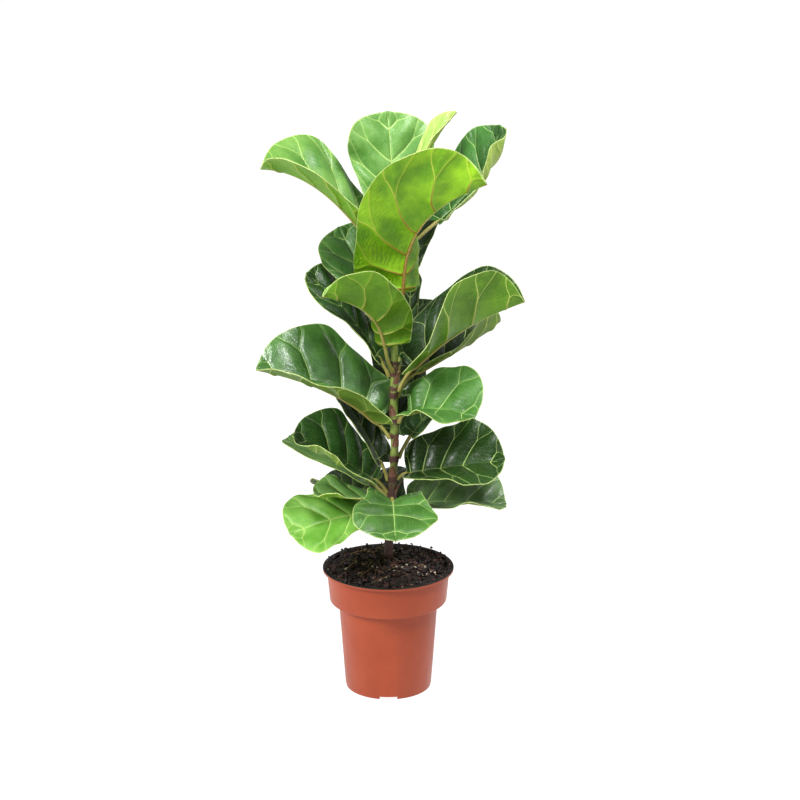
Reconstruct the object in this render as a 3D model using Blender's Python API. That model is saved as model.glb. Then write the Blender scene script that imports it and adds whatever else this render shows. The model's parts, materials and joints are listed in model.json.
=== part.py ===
"""A potted fiddle leaf fig: a young plant with one woody stem in a round nursery pot.

Metres, +Z up. The origin is the middle of the pot's base, on the surface that it stands on. The front of
the plant faces -Y. Headings are degrees seen from above: 0 is +X, 90 is +Y, away from the front.
"""

import math
from dataclasses import dataclass

import bmesh
import bpy
from mathutils import Matrix, Vector

GAP = 0.0003

# Pot: a tapered cup with a wider collar and a rolled lip.
POT_HEIGHT = 0.116
RIM_RADIUS = 0.060
LIP_HEIGHT = 0.0024
COLLAR_HEIGHT = 0.029
COLLAR_TOP_RADIUS = 0.0562
COLLAR_FOOT_RADIUS = 0.0536
BODY_TOP_RADIUS = 0.0456
BODY_FOOT_RADIUS = 0.0396
FOOT_ROUNDING = 0.0016
POT_WALL = 0.0012
BASE_THICKNESS = 0.0044
POT_SIDES = 56
CHANNELS = 4
CHANNEL_WIDTH = 0.016
CHANNEL_HEIGHT = 0.0030
CHANNEL_START = 0.021
DRAIN_RADIUS = 0.0040
DRAIN_CIRCLE = 0.029

# Potting mix: fills the pot to just under the rim and rises around the stem.
SOIL_EDGE_DROP = 0.0035
SOIL_CROWN_RISE = 0.0080
SOIL_RINGS = 7

# Stem: points of its middle line, from the buried end to the growing tip.
STEM_LINE = (
    (0.000, 0.000, 0.088),
    (0.000, 0.000, 0.126),
    (0.003, 0.000, 0.180),
    (0.006, -0.002, 0.228),
    (0.005, 0.000, 0.275),
    (0.006, 0.002, 0.322),
    (0.009, 0.001, 0.368),
    (0.010, 0.000, 0.412),
    (0.011, 0.000, 0.450),
)
STEM_FOOT_RADIUS = 0.0042
STEM_TIP_RADIUS = 0.0024
STEM_SIDES = 10
STEM_RINGS = 22
NODE_SWELL = 0.0004
BUD_LENGTH = 0.034
BUD_RADIUS = 0.0030

# Papery scales left at the joints of the stem: height and heading of each.
STIPULES = ((0.150, -70), (0.188, -20), (0.205, -100), (0.234, -75), (0.262, -110), (0.292, -50))
STIPULE_LENGTH = 0.010
STIPULE_WIDTH = 0.0052
STIPULE_THICKNESS = 0.0005

# Leaves: the blade is drawn flat first, then bent along its midrib. Its outline runs from the notch where
# the stalk meets the blade, round the basal lobe, to the tip: share of the length, share of half the width.
OUTLINE = (
    (0.000, 0.030),
    (-0.050, 0.240),
    (-0.030, 0.480),
    (0.090, 0.640),
    (0.230, 0.690),
    (0.400, 0.760),
    (0.560, 0.900),
    (0.700, 1.000),
    (0.820, 0.950),
    (0.915, 0.740),
    (0.970, 0.440),
    (1.000, 0.035),
)
VEIN_SWEEP = 2.4
VEIN_CURVE = 1.25
ACROSS = (-1.0, -0.55, 0.0, 0.55, 1.0)
BLADE_THICKNESS = 0.0010
MIDRIB_DEPTH = 0.0012
STALK_RADIUS = 0.0016
STALK_RINGS = 3
SPINE_STEPS = 96
FOLD_STEPS = 6


@dataclass
class Leaf:
    """One leaf. Angles in degrees; pairs are the left and right halves, or base and tip where it says so."""

    name: str
    node: float  # height of its joint with the stem
    heading: float
    stalk: float  # length of the leaf stalk
    leave: float  # slope of the stalk where it leaves the stem
    rise: tuple  # slope of the midrib at the base, the middle and the tip
    length: float
    width: float
    turn: float = 0.0  # how far the midrib swings to the left by the tip
    roll: tuple = (0.0, 0.0)  # base and tip: how far the blade's right half is lifted
    fold: tuple = (20.0, 20.0)  # how far each half is lifted beside the midrib, at the base
    fold_tip: tuple = ()  # the same at the tip, where it differs
    curl: tuple = (0.0, 0.0)  # how much more each half is lifted by its margin
    wave: tuple = (0.002, 1.5, 0.0)  # margin waves: height, number along the blade, phase
    belly: float = 1.0  # above 1, the widest part lies nearer to the base
    lean: float = 0.0  # how much wider the right half is than the left, as a share
    colour: tuple = (0.09, 0.24, 0.03)


LEAVES = (
    Leaf("leaf_crown_left", 0.392, 180, 0.030, 60, (52, 38, 0), 0.124, 0.100, fold=(25, 33)),
    Leaf("leaf_crown_back", 0.408, 103, 0.022, 60, (74, 74, 66), 0.104, 0.080, fold=(8, 0)),
    Leaf("leaf_crown_front", 0.345, -76, 0.040, 35, (88, 48, 20), 0.144, 0.112, turn=72,
         fold=(40, 26), fold_tip=(60, 80), curl=(40, 0), belly=1.35, lean=0.14),
    Leaf("leaf_youngest", 0.442, 28, 0.012, 75, (80, 56, 38), 0.092, 0.024, fold=(38, 38)),
    Leaf("leaf_crown_right", 0.408, 31, 0.044, 40, (30, 50, 74), 0.106, 0.082,
         fold=(16, 14), curl=(0, 76)),
    Leaf("leaf_upper_left", 0.334, 142, 0.022, 60, (58, 56, 50), 0.086, 0.067,
         roll=(10, 34), fold=(12, 10)),
    Leaf("leaf_upper_front", 0.303, -114, 0.030, 45, (74, 37, 10), 0.093, 0.065, turn=-52,
         fold=(42, 30), fold_tip=(80, 30), curl=(0, 60), belly=1.9, lean=-0.14),
    Leaf("leaf_upper_left_low", 0.298, 176, 0.018, 65, (60, 50, 36), 0.100, 0.062,
         roll=(8, 20), fold=(10, 18)),
    Leaf("leaf_upper_right_inner", 0.308, 61, 0.040, 15, (88, 86, 80), 0.052, 0.028),
    Leaf("leaf_upper_right", 0.285, -10, 0.022, 70, (48, 33, 21), 0.121, 0.106,
         fold=(64, 12), fold_tip=(34, 92), belly=1.25, lean=0.04),
    Leaf("leaf_upper_right_low", 0.278, 38, 0.028, 64, (15, 17, 26), 0.104, 0.070,
         fold=(34, 36), fold_tip=(36, 75)),
    Leaf("leaf_middle_left", 0.241, 188, 0.015, 60, (46, 25, 14), 0.124, 0.112,
         fold=(20, 64), fold_tip=(20, 42), belly=1.7),
    Leaf("leaf_middle_right", 0.256, -31, 0.012, 68, (25, 5, -16), 0.071, 0.083,
         fold=(57, 6), fold_tip=(42, 4), belly=1.8, lean=-0.07),
    Leaf("leaf_middle_right_back", 0.221, 35, 0.022, 60, (46, 38, 28), 0.078, 0.058),
    Leaf("leaf_lower_left", 0.189, 183, 0.015, 60, (33, 33, 12), 0.085, 0.082,
         fold=(-5, 46), fold_tip=(-5, 34), curl=(60, 0), belly=1.3),
    Leaf("leaf_lower_left_far", 0.182, 146, 0.022, 35, (25, 17, 7), 0.095, 0.060, roll=(5, 15)),
    Leaf("leaf_lower_left_under", 0.176, 196, 0.009, 45, (16, 10, 4), 0.060, 0.054),
    Leaf("leaf_lower_left_inner", 0.200, 151, 0.016, 70, (60, 55, 45), 0.078, 0.054),
    Leaf("leaf_lower_right", 0.202, -8, 0.009, 45, (13, 10, 12), 0.090, 0.088,
         fold=(60, 6), fold_tip=(56, -18), belly=1.35),
    Leaf("leaf_bottom_left", 0.168, 200, 0.018, 20, (-2, -9, -22), 0.075, 0.080,
         roll=(18, 25), fold=(8, 8)),
    Leaf("leaf_bottom_left_back", 0.174, 150, 0.027, 15, (12, 6, -4), 0.048, 0.054),
    Leaf("leaf_bottom_front", 0.182, -88, 0.018, 32, (4, -12, -30), 0.072, 0.080,
         fold=(22, 34), fold_tip=(14, 14)),
    Leaf("leaf_bottom_right", 0.173, 3, 0.015, 25, (5, -3, -6), 0.086, 0.076,
         fold=(46, 12), fold_tip=(34, 12)),
    Leaf("leaf_back_low", 0.164, 103, 0.014, 35, (14, 8, -2), 0.070, 0.064),
    Leaf("leaf_back_low_right", 0.219, 85, 0.024, 50, (46, 36, 15), 0.080, 0.052),
    Leaf("leaf_back_middle", 0.254, 90, 0.026, 60, (50, 40, 25), 0.090, 0.057),
    Leaf("leaf_back_middle_right", 0.280, 72, 0.022, 60, (55, 46, 30), 0.075, 0.060),
    Leaf("leaf_back_upper", 0.366, 74, 0.026, 50, (44, 34, 20), 0.076, 0.046),
)


def smooth(points, share):
    """The point at a share of the way along a smooth curve through the points."""
    place = max(0.0, min(share, 1.0)) * (len(points) - 1)
    index = min(int(place), len(points) - 2)
    t = place - index
    near = [Vector(points[max(0, min(index + step, len(points) - 1))]) for step in (-1, 0, 1, 2)]
    before, start, end, after = near
    return (
        start
        + (end - before) * 0.5 * t
        + (before * 2 - start * 5 + end * 4 - after) * 0.5 * t**2
        + (start * 3 - before - end * 3 + after) * 0.5 * t**3
    )


def material(name, colour, roughness):
    made = bpy.data.materials.new(name)
    made.use_nodes = True
    shader = made.node_tree.nodes["Principled BSDF"]
    shader.inputs["Base Color"].default_value = (*colour, 1.0)
    shader.inputs["Roughness"].default_value = roughness
    shader.inputs["Metallic"].default_value = 0.0
    return made


def finish(mesh_data, name, surface, sharp_degrees=35):
    """Turns the mesh data into an object that is shaded smooth, with its faces pointing out."""
    bmesh.ops.recalc_face_normals(mesh_data, faces=mesh_data.faces[:])
    mesh = bpy.data.meshes.new(name)
    mesh_data.to_mesh(mesh)
    mesh_data.free()
    mesh.materials.append(surface)
    mesh.shade_smooth()
    mesh.set_sharp_from_angle(angle=math.radians(sharp_degrees))
    made = bpy.data.objects.new(name, mesh)
    bpy.context.scene.collection.objects.link(made)
    return made


def turned(profile, sides, name, surface):
    """A solid turned about Z from a profile whose first and last points lie on the axis."""
    mesh_data = bmesh.new()
    corners = [mesh_data.verts.new((radius, 0.0, height)) for radius, height in profile]
    edges = [mesh_data.edges.new(pair) for pair in zip(corners, corners[1:])]
    bmesh.ops.spin(
        mesh_data,
        geom=corners + edges,
        cent=(0, 0, 0),
        axis=(0, 0, 1),
        angle=math.tau,
        steps=sides,
        use_merge=True,
    )
    bmesh.ops.remove_doubles(mesh_data, verts=mesh_data.verts[:], dist=1e-6)
    return finish(mesh_data, name, surface)


def loft(rings, name, surface, sharp_degrees=50):
    """A closed skin over rings with the same number of points, capped at both ends.

    Both sides of a flat piece are split along matching diagonals, so a thin twisted one can't meet itself.
    """
    mesh_data = bmesh.new()
    loops = [[mesh_data.verts.new(point) for point in ring] for ring in rings]
    count = len(loops[0])
    for lower, upper in zip(loops, loops[1:]):
        for index in range(count):
            following = (index + 1) % count
            corners = [lower[index], lower[following], upper[following], upper[index]]
            if index >= count // 2:
                corners = corners[1:] + corners[:1]
            mesh_data.faces.new((corners[0], corners[1], corners[2]))
            mesh_data.faces.new((corners[0], corners[2], corners[3]))
    mesh_data.faces.new(loops[0])
    mesh_data.faces.new(loops[-1])
    return finish(mesh_data, name, surface, sharp_degrees)


# Pot and soil


def pot_inner(height):
    """The pot's inner radius at a height above its floor."""
    step = POT_HEIGHT - LIP_HEIGHT - COLLAR_HEIGHT
    if height < step + POT_WALL:
        share = (height - 0.0) / step
        outer = BODY_FOOT_RADIUS + (BODY_TOP_RADIUS - BODY_FOOT_RADIUS) * share
    else:
        share = (height - step) / COLLAR_HEIGHT
        outer = COLLAR_FOOT_RADIUS + (COLLAR_TOP_RADIUS - COLLAR_FOOT_RADIUS) * share
    return outer - POT_WALL


def pot_cutter(name):
    """The drain channels under the base and the holes above them, as one hidden cutter."""
    mesh_data = bmesh.new()
    reach = BODY_FOOT_RADIUS + 0.006
    for index in range(CHANNELS):
        turn = Matrix.Rotation(math.tau * index / CHANNELS - math.pi / 2, 4, "Z")
        middle = (CHANNEL_START + reach) / 2
        shape = Matrix.Diagonal((reach - CHANNEL_START, CHANNEL_WIDTH, CHANNEL_HEIGHT * 2, 1))
        place = Matrix.Translation((middle, 0, 0))
        bmesh.ops.create_cube(mesh_data, size=1.0, matrix=turn @ place @ shape)
        bmesh.ops.create_cone(
            mesh_data,
            cap_ends=True,
            segments=16,
            radius1=DRAIN_RADIUS,
            radius2=DRAIN_RADIUS,
            depth=BASE_THICKNESS * 3,
            matrix=turn @ Matrix.Translation((DRAIN_CIRCLE, 0, BASE_THICKNESS)),
        )
    cutter = finish(mesh_data, name, material(name, (0.5, 0.5, 0.5), 0.5))
    cutter.hide_render = True
    cutter.display_type = "WIRE"
    return cutter


def build_pot():
    step = POT_HEIGHT - LIP_HEIGHT - COLLAR_HEIGHT
    profile = [
        (0.0, BASE_THICKNESS),
        (pot_inner(BASE_THICKNESS), BASE_THICKNESS),
        (pot_inner(step), step + POT_WALL),
        (pot_inner(step + POT_WALL), step + POT_WALL),
        (pot_inner(POT_HEIGHT - LIP_HEIGHT), POT_HEIGHT - LIP_HEIGHT),
        (COLLAR_TOP_RADIUS - POT_WALL, POT_HEIGHT - 0.0006),
        (COLLAR_TOP_RADIUS - POT_WALL * 0.3, POT_HEIGHT),
        (RIM_RADIUS - 0.0006, POT_HEIGHT),
        (RIM_RADIUS, POT_HEIGHT - 0.0006),
        (RIM_RADIUS, POT_HEIGHT - LIP_HEIGHT),
        (COLLAR_TOP_RADIUS, POT_HEIGHT - LIP_HEIGHT),
        (COLLAR_FOOT_RADIUS, step + 0.0008),
        (COLLAR_FOOT_RADIUS - 0.0008, step),
        (BODY_TOP_RADIUS, step),
        (BODY_FOOT_RADIUS, FOOT_ROUNDING),
        (BODY_FOOT_RADIUS - FOOT_ROUNDING, 0.0),
        (0.0, 0.0),
    ]
    pot = turned(profile, POT_SIDES, "pot", material("terracotta_plastic", (0.56, 0.15, 0.06), 0.45))
    cut = pot.modifiers.new("drain", "BOOLEAN")
    cut.object = pot_cutter("drain_cutter")
    cut.operation = "DIFFERENCE"
    cut.use_self = True


def soil_height(radius):
    """The soil's surface: low at the wall, heaped around the stem."""
    edge = POT_HEIGHT - SOIL_EDGE_DROP
    share = radius / pot_inner(edge)
    return edge + (SOIL_EDGE_DROP + SOIL_CROWN_RISE) * (1.0 - share**2)


def build_soil():
    step = POT_HEIGHT - LIP_HEIGHT - COLLAR_HEIGHT
    floor = BASE_THICKNESS + GAP
    ledge = step + POT_WALL + GAP
    edge = POT_HEIGHT - SOIL_EDGE_DROP
    hole = STEM_FOOT_RADIUS + GAP
    profile = [
        (0.0, floor),
        (pot_inner(floor) - GAP, floor),
        (pot_inner(step) - GAP, ledge),
        (pot_inner(ledge) - GAP, ledge),
        (pot_inner(edge) - GAP, edge),
    ]
    for ring in range(1, SOIL_RINGS + 1):
        radius = pot_inner(edge) - GAP + (hole - pot_inner(edge) + GAP) * ring / SOIL_RINGS
        profile.append((radius, soil_height(radius)))
    hole_floor = STEM_LINE[0][2] - GAP
    profile += [(hole, hole_floor), (0.0, hole_floor)]
    turned(profile, POT_SIDES, "soil", material("potting_mix", (0.020, 0.012, 0.008), 0.95))


# Stem


def stem_middle(height):
    """The stem's middle line at a height."""
    for lower, upper in zip(STEM_LINE, STEM_LINE[1:]):
        if height <= upper[2] or upper is STEM_LINE[-1]:
            share = (height - lower[2]) / (upper[2] - lower[2])
            return Vector(lower).lerp(Vector(upper), share)


def stem_radius(height):
    share = (height - STEM_LINE[0][2]) / (STEM_LINE[-1][2] - STEM_LINE[0][2])
    return STEM_FOOT_RADIUS + (STEM_TIP_RADIUS - STEM_FOOT_RADIUS) * share


def ring_about(middle, radius, sides):
    angles = [math.tau * index / sides for index in range(sides)]
    return [middle + Vector((math.cos(a), math.sin(a), 0)) * radius for a in angles]


def build_stem():
    bottom, top = STEM_LINE[0][2], STEM_LINE[-1][2]
    rings = []
    for index in range(STEM_RINGS):
        height = bottom + (top - bottom) * index / (STEM_RINGS - 1)
        swell = NODE_SWELL * (index % 2) if height > STEM_LINE[2][2] else 0.0
        rings.append(ring_about(stem_middle(height), stem_radius(height) + swell, STEM_SIDES))
    loft(rings, "stem", material("stem_bark", (0.12, 0.06, 0.03), 0.8))


def build_bud():
    """The pointed sheath that wraps the next leaf at the stem's tip."""
    foot = stem_middle(STEM_LINE[-1][2]) + Vector((0, 0, GAP))
    shape = ((0.0, 0.75), (0.15, 1.0), (0.40, 0.95), (0.70, 0.60), (0.92, 0.22), (1.0, 0.06))
    lean = Vector((0.004, -0.003, 0.0))
    rings = [
        ring_about(foot + lean * share**2 + Vector((0, 0, BUD_LENGTH * share)), BUD_RADIUS * size, 8)
        for share, size in shape
    ]
    loft(rings, "terminal_bud", material("bud_sheath", (0.30, 0.22, 0.06), 0.55))


def build_stipule(name, height, heading, surface):
    """A pointed scale that stands against the stem and leans away from it at its tip."""
    yaw = math.radians(heading)
    outward = Vector((math.cos(yaw), math.sin(yaw), 0))
    side = Vector((-math.sin(yaw), math.cos(yaw), 0))
    clear = stem_radius(height) + NODE_SWELL + STIPULE_THICKNESS + GAP
    rings = []
    for share, size in ((0.0, 0.7), (0.35, 1.0), (0.75, 0.6), (1.0, 0.08)):
        middle = stem_middle(height + STIPULE_LENGTH * share) + outward * (clear + 0.0035 * share**2)
        ring = []
        for index in range(6):
            angle = math.tau * index / 6
            across = side * math.cos(angle) * STIPULE_WIDTH / 2 * size
            ring.append(middle + across + outward * math.sin(angle) * STIPULE_THICKNESS / 2)
        rings.append(ring)
    loft(rings, name, surface)


# Leaves


def three_way(values, share):
    """A smooth value that passes through three given ones at the start, the middle and the end."""
    start, middle, end = values
    first = start * (1 - share) * (1 - 2 * share)
    return first + middle * 4 * share * (1 - share) + end * share * (2 * share - 1)


def frame_of(heading, slope, roll):
    """Along, right and up of a blade with this heading, slope and roll, in degrees."""
    yaw, pitch, bank = map(math.radians, (heading, slope, roll))
    along = Vector((math.cos(pitch) * math.cos(yaw), math.cos(pitch) * math.sin(yaw), math.sin(pitch)))
    side = Vector((math.sin(yaw), -math.cos(yaw), 0.0))
    normal = side.cross(along)
    cos, sin = math.cos(bank), math.sin(bank)
    return along, side * cos + normal * sin, normal * cos - side * sin


def spine(leaf):
    """The stalk's stations and the midrib's stations, each (point, along, right, up)."""
    yaw = math.radians(leaf.heading)
    middle = stem_middle(leaf.node)
    reach = stem_radius(leaf.node) + NODE_SWELL + STALK_RADIUS * math.sin(math.radians(leaf.leave)) + GAP
    point = middle + Vector((math.cos(yaw), math.sin(yaw), 0.0)) * reach
    stalk = []
    for index in range(SPINE_STEPS + 1):
        share = index / SPINE_STEPS
        slope = leaf.leave + (leaf.rise[0] - leaf.leave) * share
        axes = frame_of(leaf.heading, slope, leaf.roll[0] * share)
        stalk.append((point, *axes))
        point = point + axes[0] * (leaf.stalk / SPINE_STEPS)
    point = stalk[-1][0]
    midrib = []
    for index in range(SPINE_STEPS + 1):
        share = index / SPINE_STEPS
        roll = leaf.roll[0] + (leaf.roll[1] - leaf.roll[0]) * share
        axes = frame_of(leaf.heading + leaf.turn * share, three_way(leaf.rise, share), roll)
        midrib.append((point, *axes))
        point = point + axes[0] * (leaf.length / SPINE_STEPS)
    return stalk, midrib


def station(midrib, share, length):
    """The midrib's point and axes at a share of its length. It runs on straight past either end."""
    place = max(0.0, min(share, 1.0)) * SPINE_STEPS
    index = min(int(place), SPINE_STEPS - 1)
    mix = place - index
    point, along, side, normal = (a.lerp(b, mix) for a, b in zip(midrib[index], midrib[index + 1]))
    beyond = (share - max(0.0, min(share, 1.0))) * length
    return point + along * beyond, along.normalized(), side.normalized(), normal.normalized()


def blade_point(leaf, midrib, x, y):
    """Where a point of the flat blade goes: x along the midrib, y to the right of it, as shares."""
    which = 1 if y > 0 else 0
    half = leaf.width / 2 * (1 + leaf.lean * (2 * which - 1))
    opening = (leaf.fold_tip or leaf.fold)[which] - leaf.fold[which]
    fold = math.radians(leaf.fold[which] + opening * x * abs(x))
    curl = math.radians(leaf.curl[which])
    point, _, side, normal = station(midrib, x, leaf.length)
    step = abs(y) / FOLD_STEPS
    out, lift = 0.0, 0.0
    for index in range(FOLD_STEPS):
        angle = fold + curl * ((index + 0.5) * step) ** 2
        out += math.cos(angle) * step * half
        lift += math.sin(angle) * step * half
    height, number, phase = leaf.wave
    swing = math.sin(math.tau * (number * x + phase + 0.37 * which))
    lift += height * swing * y * y
    return point + side * math.copysign(out, y) + normal * lift, normal


def blade_ring(leaf, midrib, share):
    """A closed ring across the blade at a share of the outline, upper side first."""
    edge = smooth(OUTLINE, share)
    edge.x = math.copysign(abs(edge.x) ** leaf.belly, edge.x)
    root = share**VEIN_SWEEP
    upper, lower = [], []
    thin = BLADE_THICKNESS / 2 + (STALK_RADIUS - BLADE_THICKNESS / 2) * max(0.0, 1.0 - share * 6)
    for across in ACROSS:
        x = root + (edge[0] - root) * abs(across) ** VEIN_CURVE
        point, normal = blade_point(leaf, midrib, x, edge[1] * across)
        depth = thin * (1 - across**4)
        rib = MIDRIB_DEPTH * (1 - share) if across == 0 else 0.0
        upper.append(point + normal * depth)
        lower.append(point - normal * (depth + rib))
    return upper + lower[-2:0:-1]


def stalk_ring(place):
    point, _, side, normal = place
    sides = 2 * len(ACROSS) - 2
    angles = [math.pi - math.tau * index / sides for index in range(sides)]
    return [point + (side * math.cos(a) + normal * math.sin(a)) * STALK_RADIUS for a in angles]


def build_leaf(leaf):
    stalk, midrib = spine(leaf)
    rings = []
    for index in range(STALK_RINGS):
        rings.append(stalk_ring(stalk[round(index * SPINE_STEPS / STALK_RINGS)]))
    stations = len(OUTLINE) - 1
    for index in range(1, stations + 1):
        rings.append(blade_ring(leaf, midrib, index / stations))
    return loft(rings, leaf.name, material(leaf.name + "_green", leaf.colour, 0.35))


def main():
    for existing in list(bpy.data.objects):
        bpy.data.objects.remove(existing, do_unlink=True)
    build_pot()
    build_soil()
    build_stem()
    build_bud()
    scale = material("dry_scale", (0.16, 0.06, 0.04), 0.8)
    for number, (height, heading) in enumerate(STIPULES, start=1):
        build_stipule(f"stipule_{number}", height, heading, scale)
    for leaf in LEAVES:
        build_leaf(leaf)


main()
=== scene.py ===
# %% [markdown]
# # A potted fiddle leaf fig
# A young fig grown as one upright stem in a round nursery pot. The lesson builds it the way a person would
# at the desk: the camera and the studio first, then the pot, the potting mix, the stem and its papery husks,
# and last the leaves, because they carry most of the look. Sizes are in metres and the front faces -Y.

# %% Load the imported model
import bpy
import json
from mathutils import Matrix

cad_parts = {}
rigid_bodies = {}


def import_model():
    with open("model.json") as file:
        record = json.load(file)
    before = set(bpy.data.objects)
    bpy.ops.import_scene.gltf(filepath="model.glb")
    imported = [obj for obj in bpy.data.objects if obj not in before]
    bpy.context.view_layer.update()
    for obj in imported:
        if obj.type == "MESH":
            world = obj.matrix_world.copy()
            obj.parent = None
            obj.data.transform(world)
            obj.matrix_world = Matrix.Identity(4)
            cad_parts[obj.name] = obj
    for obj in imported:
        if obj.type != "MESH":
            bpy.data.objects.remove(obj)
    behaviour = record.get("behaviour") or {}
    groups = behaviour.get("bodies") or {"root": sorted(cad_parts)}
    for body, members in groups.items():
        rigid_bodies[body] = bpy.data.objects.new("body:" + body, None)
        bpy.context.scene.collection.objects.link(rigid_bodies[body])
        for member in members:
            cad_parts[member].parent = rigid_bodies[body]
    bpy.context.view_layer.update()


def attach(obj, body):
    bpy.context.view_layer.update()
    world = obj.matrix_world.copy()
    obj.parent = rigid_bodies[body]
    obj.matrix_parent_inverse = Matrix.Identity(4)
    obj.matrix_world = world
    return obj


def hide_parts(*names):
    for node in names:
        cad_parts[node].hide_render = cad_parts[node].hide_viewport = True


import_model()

# %% [markdown]
# The other imports are Blender's own and Python's. `random` gets one fixed seed, so that every run scatters
# the crumbs of soil in the same way.

# %% Imports and the seed
import json
import math
import random
from dataclasses import dataclass, replace

import bpy
import numpy as np
from mathutils import Euler, Matrix, Vector, noise

random.seed(7)
scene = bpy.context.scene

# %% [markdown]
# ## Camera
# The plant is seen from a little above and from nearly two metres away, through a long lens, so that the
# pot's rim shows as a flat ellipse. A long lens keeps upright things nearly parallel, as in a catalogue.

# %% Camera
CAMERA_PLACE = (0.0, -1.95, 0.850)
CAMERA_DROP = 16.45
CAMERA_SWING = 0.316
LENS = 102.1

bpy.ops.object.camera_add(
    location=CAMERA_PLACE,
    rotation=(math.radians(90 - CAMERA_DROP), 0.0, -math.radians(CAMERA_SWING)),
)
camera = bpy.context.object
camera.name = "catalogue_camera"
camera.data.lens = LENS
camera.data.sensor_width = 36.0
camera.data.clip_end = 100.0
scene.camera = camera
print("camera", camera.name, "lens", camera.data.lens)

# %% [markdown]
# ## Studio
# A white sweep fills the view: a wide floor that glows a little, as paper lit from below does, so that it
# stays pale all the way back. A big soft light stands to the front left, which leaves the right side of the
# pot darker. A second one hangs high in front and to the right: the leaves on the left slope towards it, so
# it puts the pale sheen on them. A weak one behind draws a light edge down the pot.

# %% Floor, sky and lights
FLOOR_REACH = 60.0
FLOOR_GLOW = 0.94
SKY_STRENGTH = 0.26

bpy.ops.mesh.primitive_plane_add(size=FLOOR_REACH, location=(0, 0, 0))
floor = bpy.context.object
floor.name = "studio_floor"
paper = bpy.data.materials.new("white_sweep")
paper.use_nodes = True
paper_shader = paper.node_tree.nodes["Principled BSDF"]
paper_shader.inputs["Base Color"].default_value = (0.24, 0.24, 0.24, 1.0)
paper_shader.inputs["Roughness"].default_value = 0.9
paper_shader.inputs["Emission Color"].default_value = (1.0, 1.0, 1.0, 1.0)
paper_shader.inputs["Emission Strength"].default_value = FLOOR_GLOW
floor.data.materials.append(paper)

sky = bpy.data.worlds.new("soft_sky")
sky.use_nodes = True
sky.node_tree.nodes["Background"].inputs["Color"].default_value = (1.0, 1.0, 1.0, 1.0)
sky.node_tree.nodes["Background"].inputs["Strength"].default_value = SKY_STRENGTH
scene.world = sky
scene.view_settings.view_transform = "Standard"


def soft_light(name, place, aim, size, power):
    """An area light at a place, turned to face a point."""
    bpy.ops.object.light_add(type="AREA", location=place)
    light = bpy.context.object
    light.name = name
    light.data.size = size
    light.data.energy = power
    light.rotation_euler = (Vector(aim) - Vector(place)).to_track_quat("-Z", "Y").to_euler()
    return light


soft_light("key_front_left", place=(-1.6, -1.1, 1.45), aim=(0, 0, 0.28), size=0.7, power=52.0)
soft_light("top_right", place=(0.34, -0.54, 1.38), aim=(0, 0, 0.32), size=0.46, power=18.0)
soft_light("rim_right", place=(1.5, 0.7, 0.9), aim=(0, 0, 0.25), size=0.8, power=6.0)

# %% [markdown]
# ## Helpers for modelling
# An operator acts on everything that is selected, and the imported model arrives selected. So each piece
# starts with nothing selected, and is given its finish, its place on the body and the CAD part that it
# stands for.

# %% Selecting and finishing a piece


def nothing_selected():
    """Object mode with no object selected."""
    if bpy.context.object and bpy.context.object.mode != "OBJECT":
        bpy.ops.object.mode_set(mode="OBJECT")
    bpy.ops.object.select_all(action="DESELECT")


def only(thing):
    """Makes one object the only selected one, and the active one."""
    nothing_selected()
    thing.select_set(True)
    bpy.context.view_layer.objects.active = thing


def settle(thing, smooth_degrees=40):
    """Moves the object's place into its mesh, turns its faces outwards and shades it smooth."""
    only(thing)
    bpy.ops.object.transform_apply(location=True, rotation=True, scale=True)
    bpy.ops.object.mode_set(mode="EDIT")
    bpy.ops.mesh.select_all(action="SELECT")
    bpy.ops.mesh.normals_make_consistent(inside=False)
    bpy.ops.object.mode_set(mode="OBJECT")
    bpy.ops.object.shade_smooth_by_angle(angle=math.radians(smooth_degrees))


def apply_modifiers(thing):
    only(thing)
    for modifier in list(thing.modifiers):
        bpy.ops.object.modifier_apply(modifier=modifier.name)


def join_up(pieces):
    """Joins pieces into the first of them."""
    nothing_selected()
    for piece in pieces:
        piece.select_set(True)
    bpy.context.view_layer.objects.active = pieces[0]
    bpy.ops.object.join()
    return bpy.context.object


def clothe(thing, *finishes):
    """Gives a piece its finishes, in place of any that it has."""
    thing.data.materials.clear()
    for finish in finishes:
        thing.data.materials.append(finish)


def carry(thing, name, values):
    """Stores one number at each point of a piece, for its finish to read."""
    thing.data.attributes.new(name, "FLOAT", "POINT").data.foreach_set("value", values)


def belongs(thing, name, slot, *cad_nodes):
    """Names a finished piece, fixes it to the body and says which CAD parts it stands for."""
    thing.name = name
    thing.data.name = name
    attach(thing, "root")
    if cad_nodes:
        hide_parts(*cad_nodes)
    print(f"{name}: {len(thing.data.polygons)} faces")


# %% [markdown]
# Round things here are drawn out of a circle: it is filled, and then its face is extruded, moved and scaled
# again and again, once for each ring. The same three operators make a pot, a stem and a bud.

# %% Drawing out a round piece


def draw_out(rings, sides):
    """A closed round piece from rings of (middle, radius), by extruding a filled circle."""
    nothing_selected()
    middle, radius = rings[0]
    bpy.ops.mesh.primitive_circle_add(vertices=sides, radius=radius, location=middle, fill_type="NGON")
    piece = bpy.context.object
    bpy.ops.object.mode_set(mode="EDIT")
    bpy.ops.mesh.select_mode(type="FACE")
    bpy.ops.mesh.select_all(action="SELECT")
    for (start, before), (end, after) in zip(rings, rings[1:]):
        step = Vector(end) - Vector(start)
        bpy.ops.mesh.extrude_region_move(TRANSFORM_OT_translate={"value": step, "orient_type": "GLOBAL"})
        if abs(after - before) > 1e-9:
            size = after / before
            bpy.ops.transform.resize(value=(size, size, 1.0), center_override=end)
    bpy.ops.object.mode_set(mode="OBJECT")
    return piece


# %% [markdown]
# ## Helpers for finishes
# A finish is a small graph of nodes. These helpers keep each graph readable: one adds a node with its
# settings, one does a sum, one adds up masks by weight, and one mixes two colours by a mask.

# %% Node helpers


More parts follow.
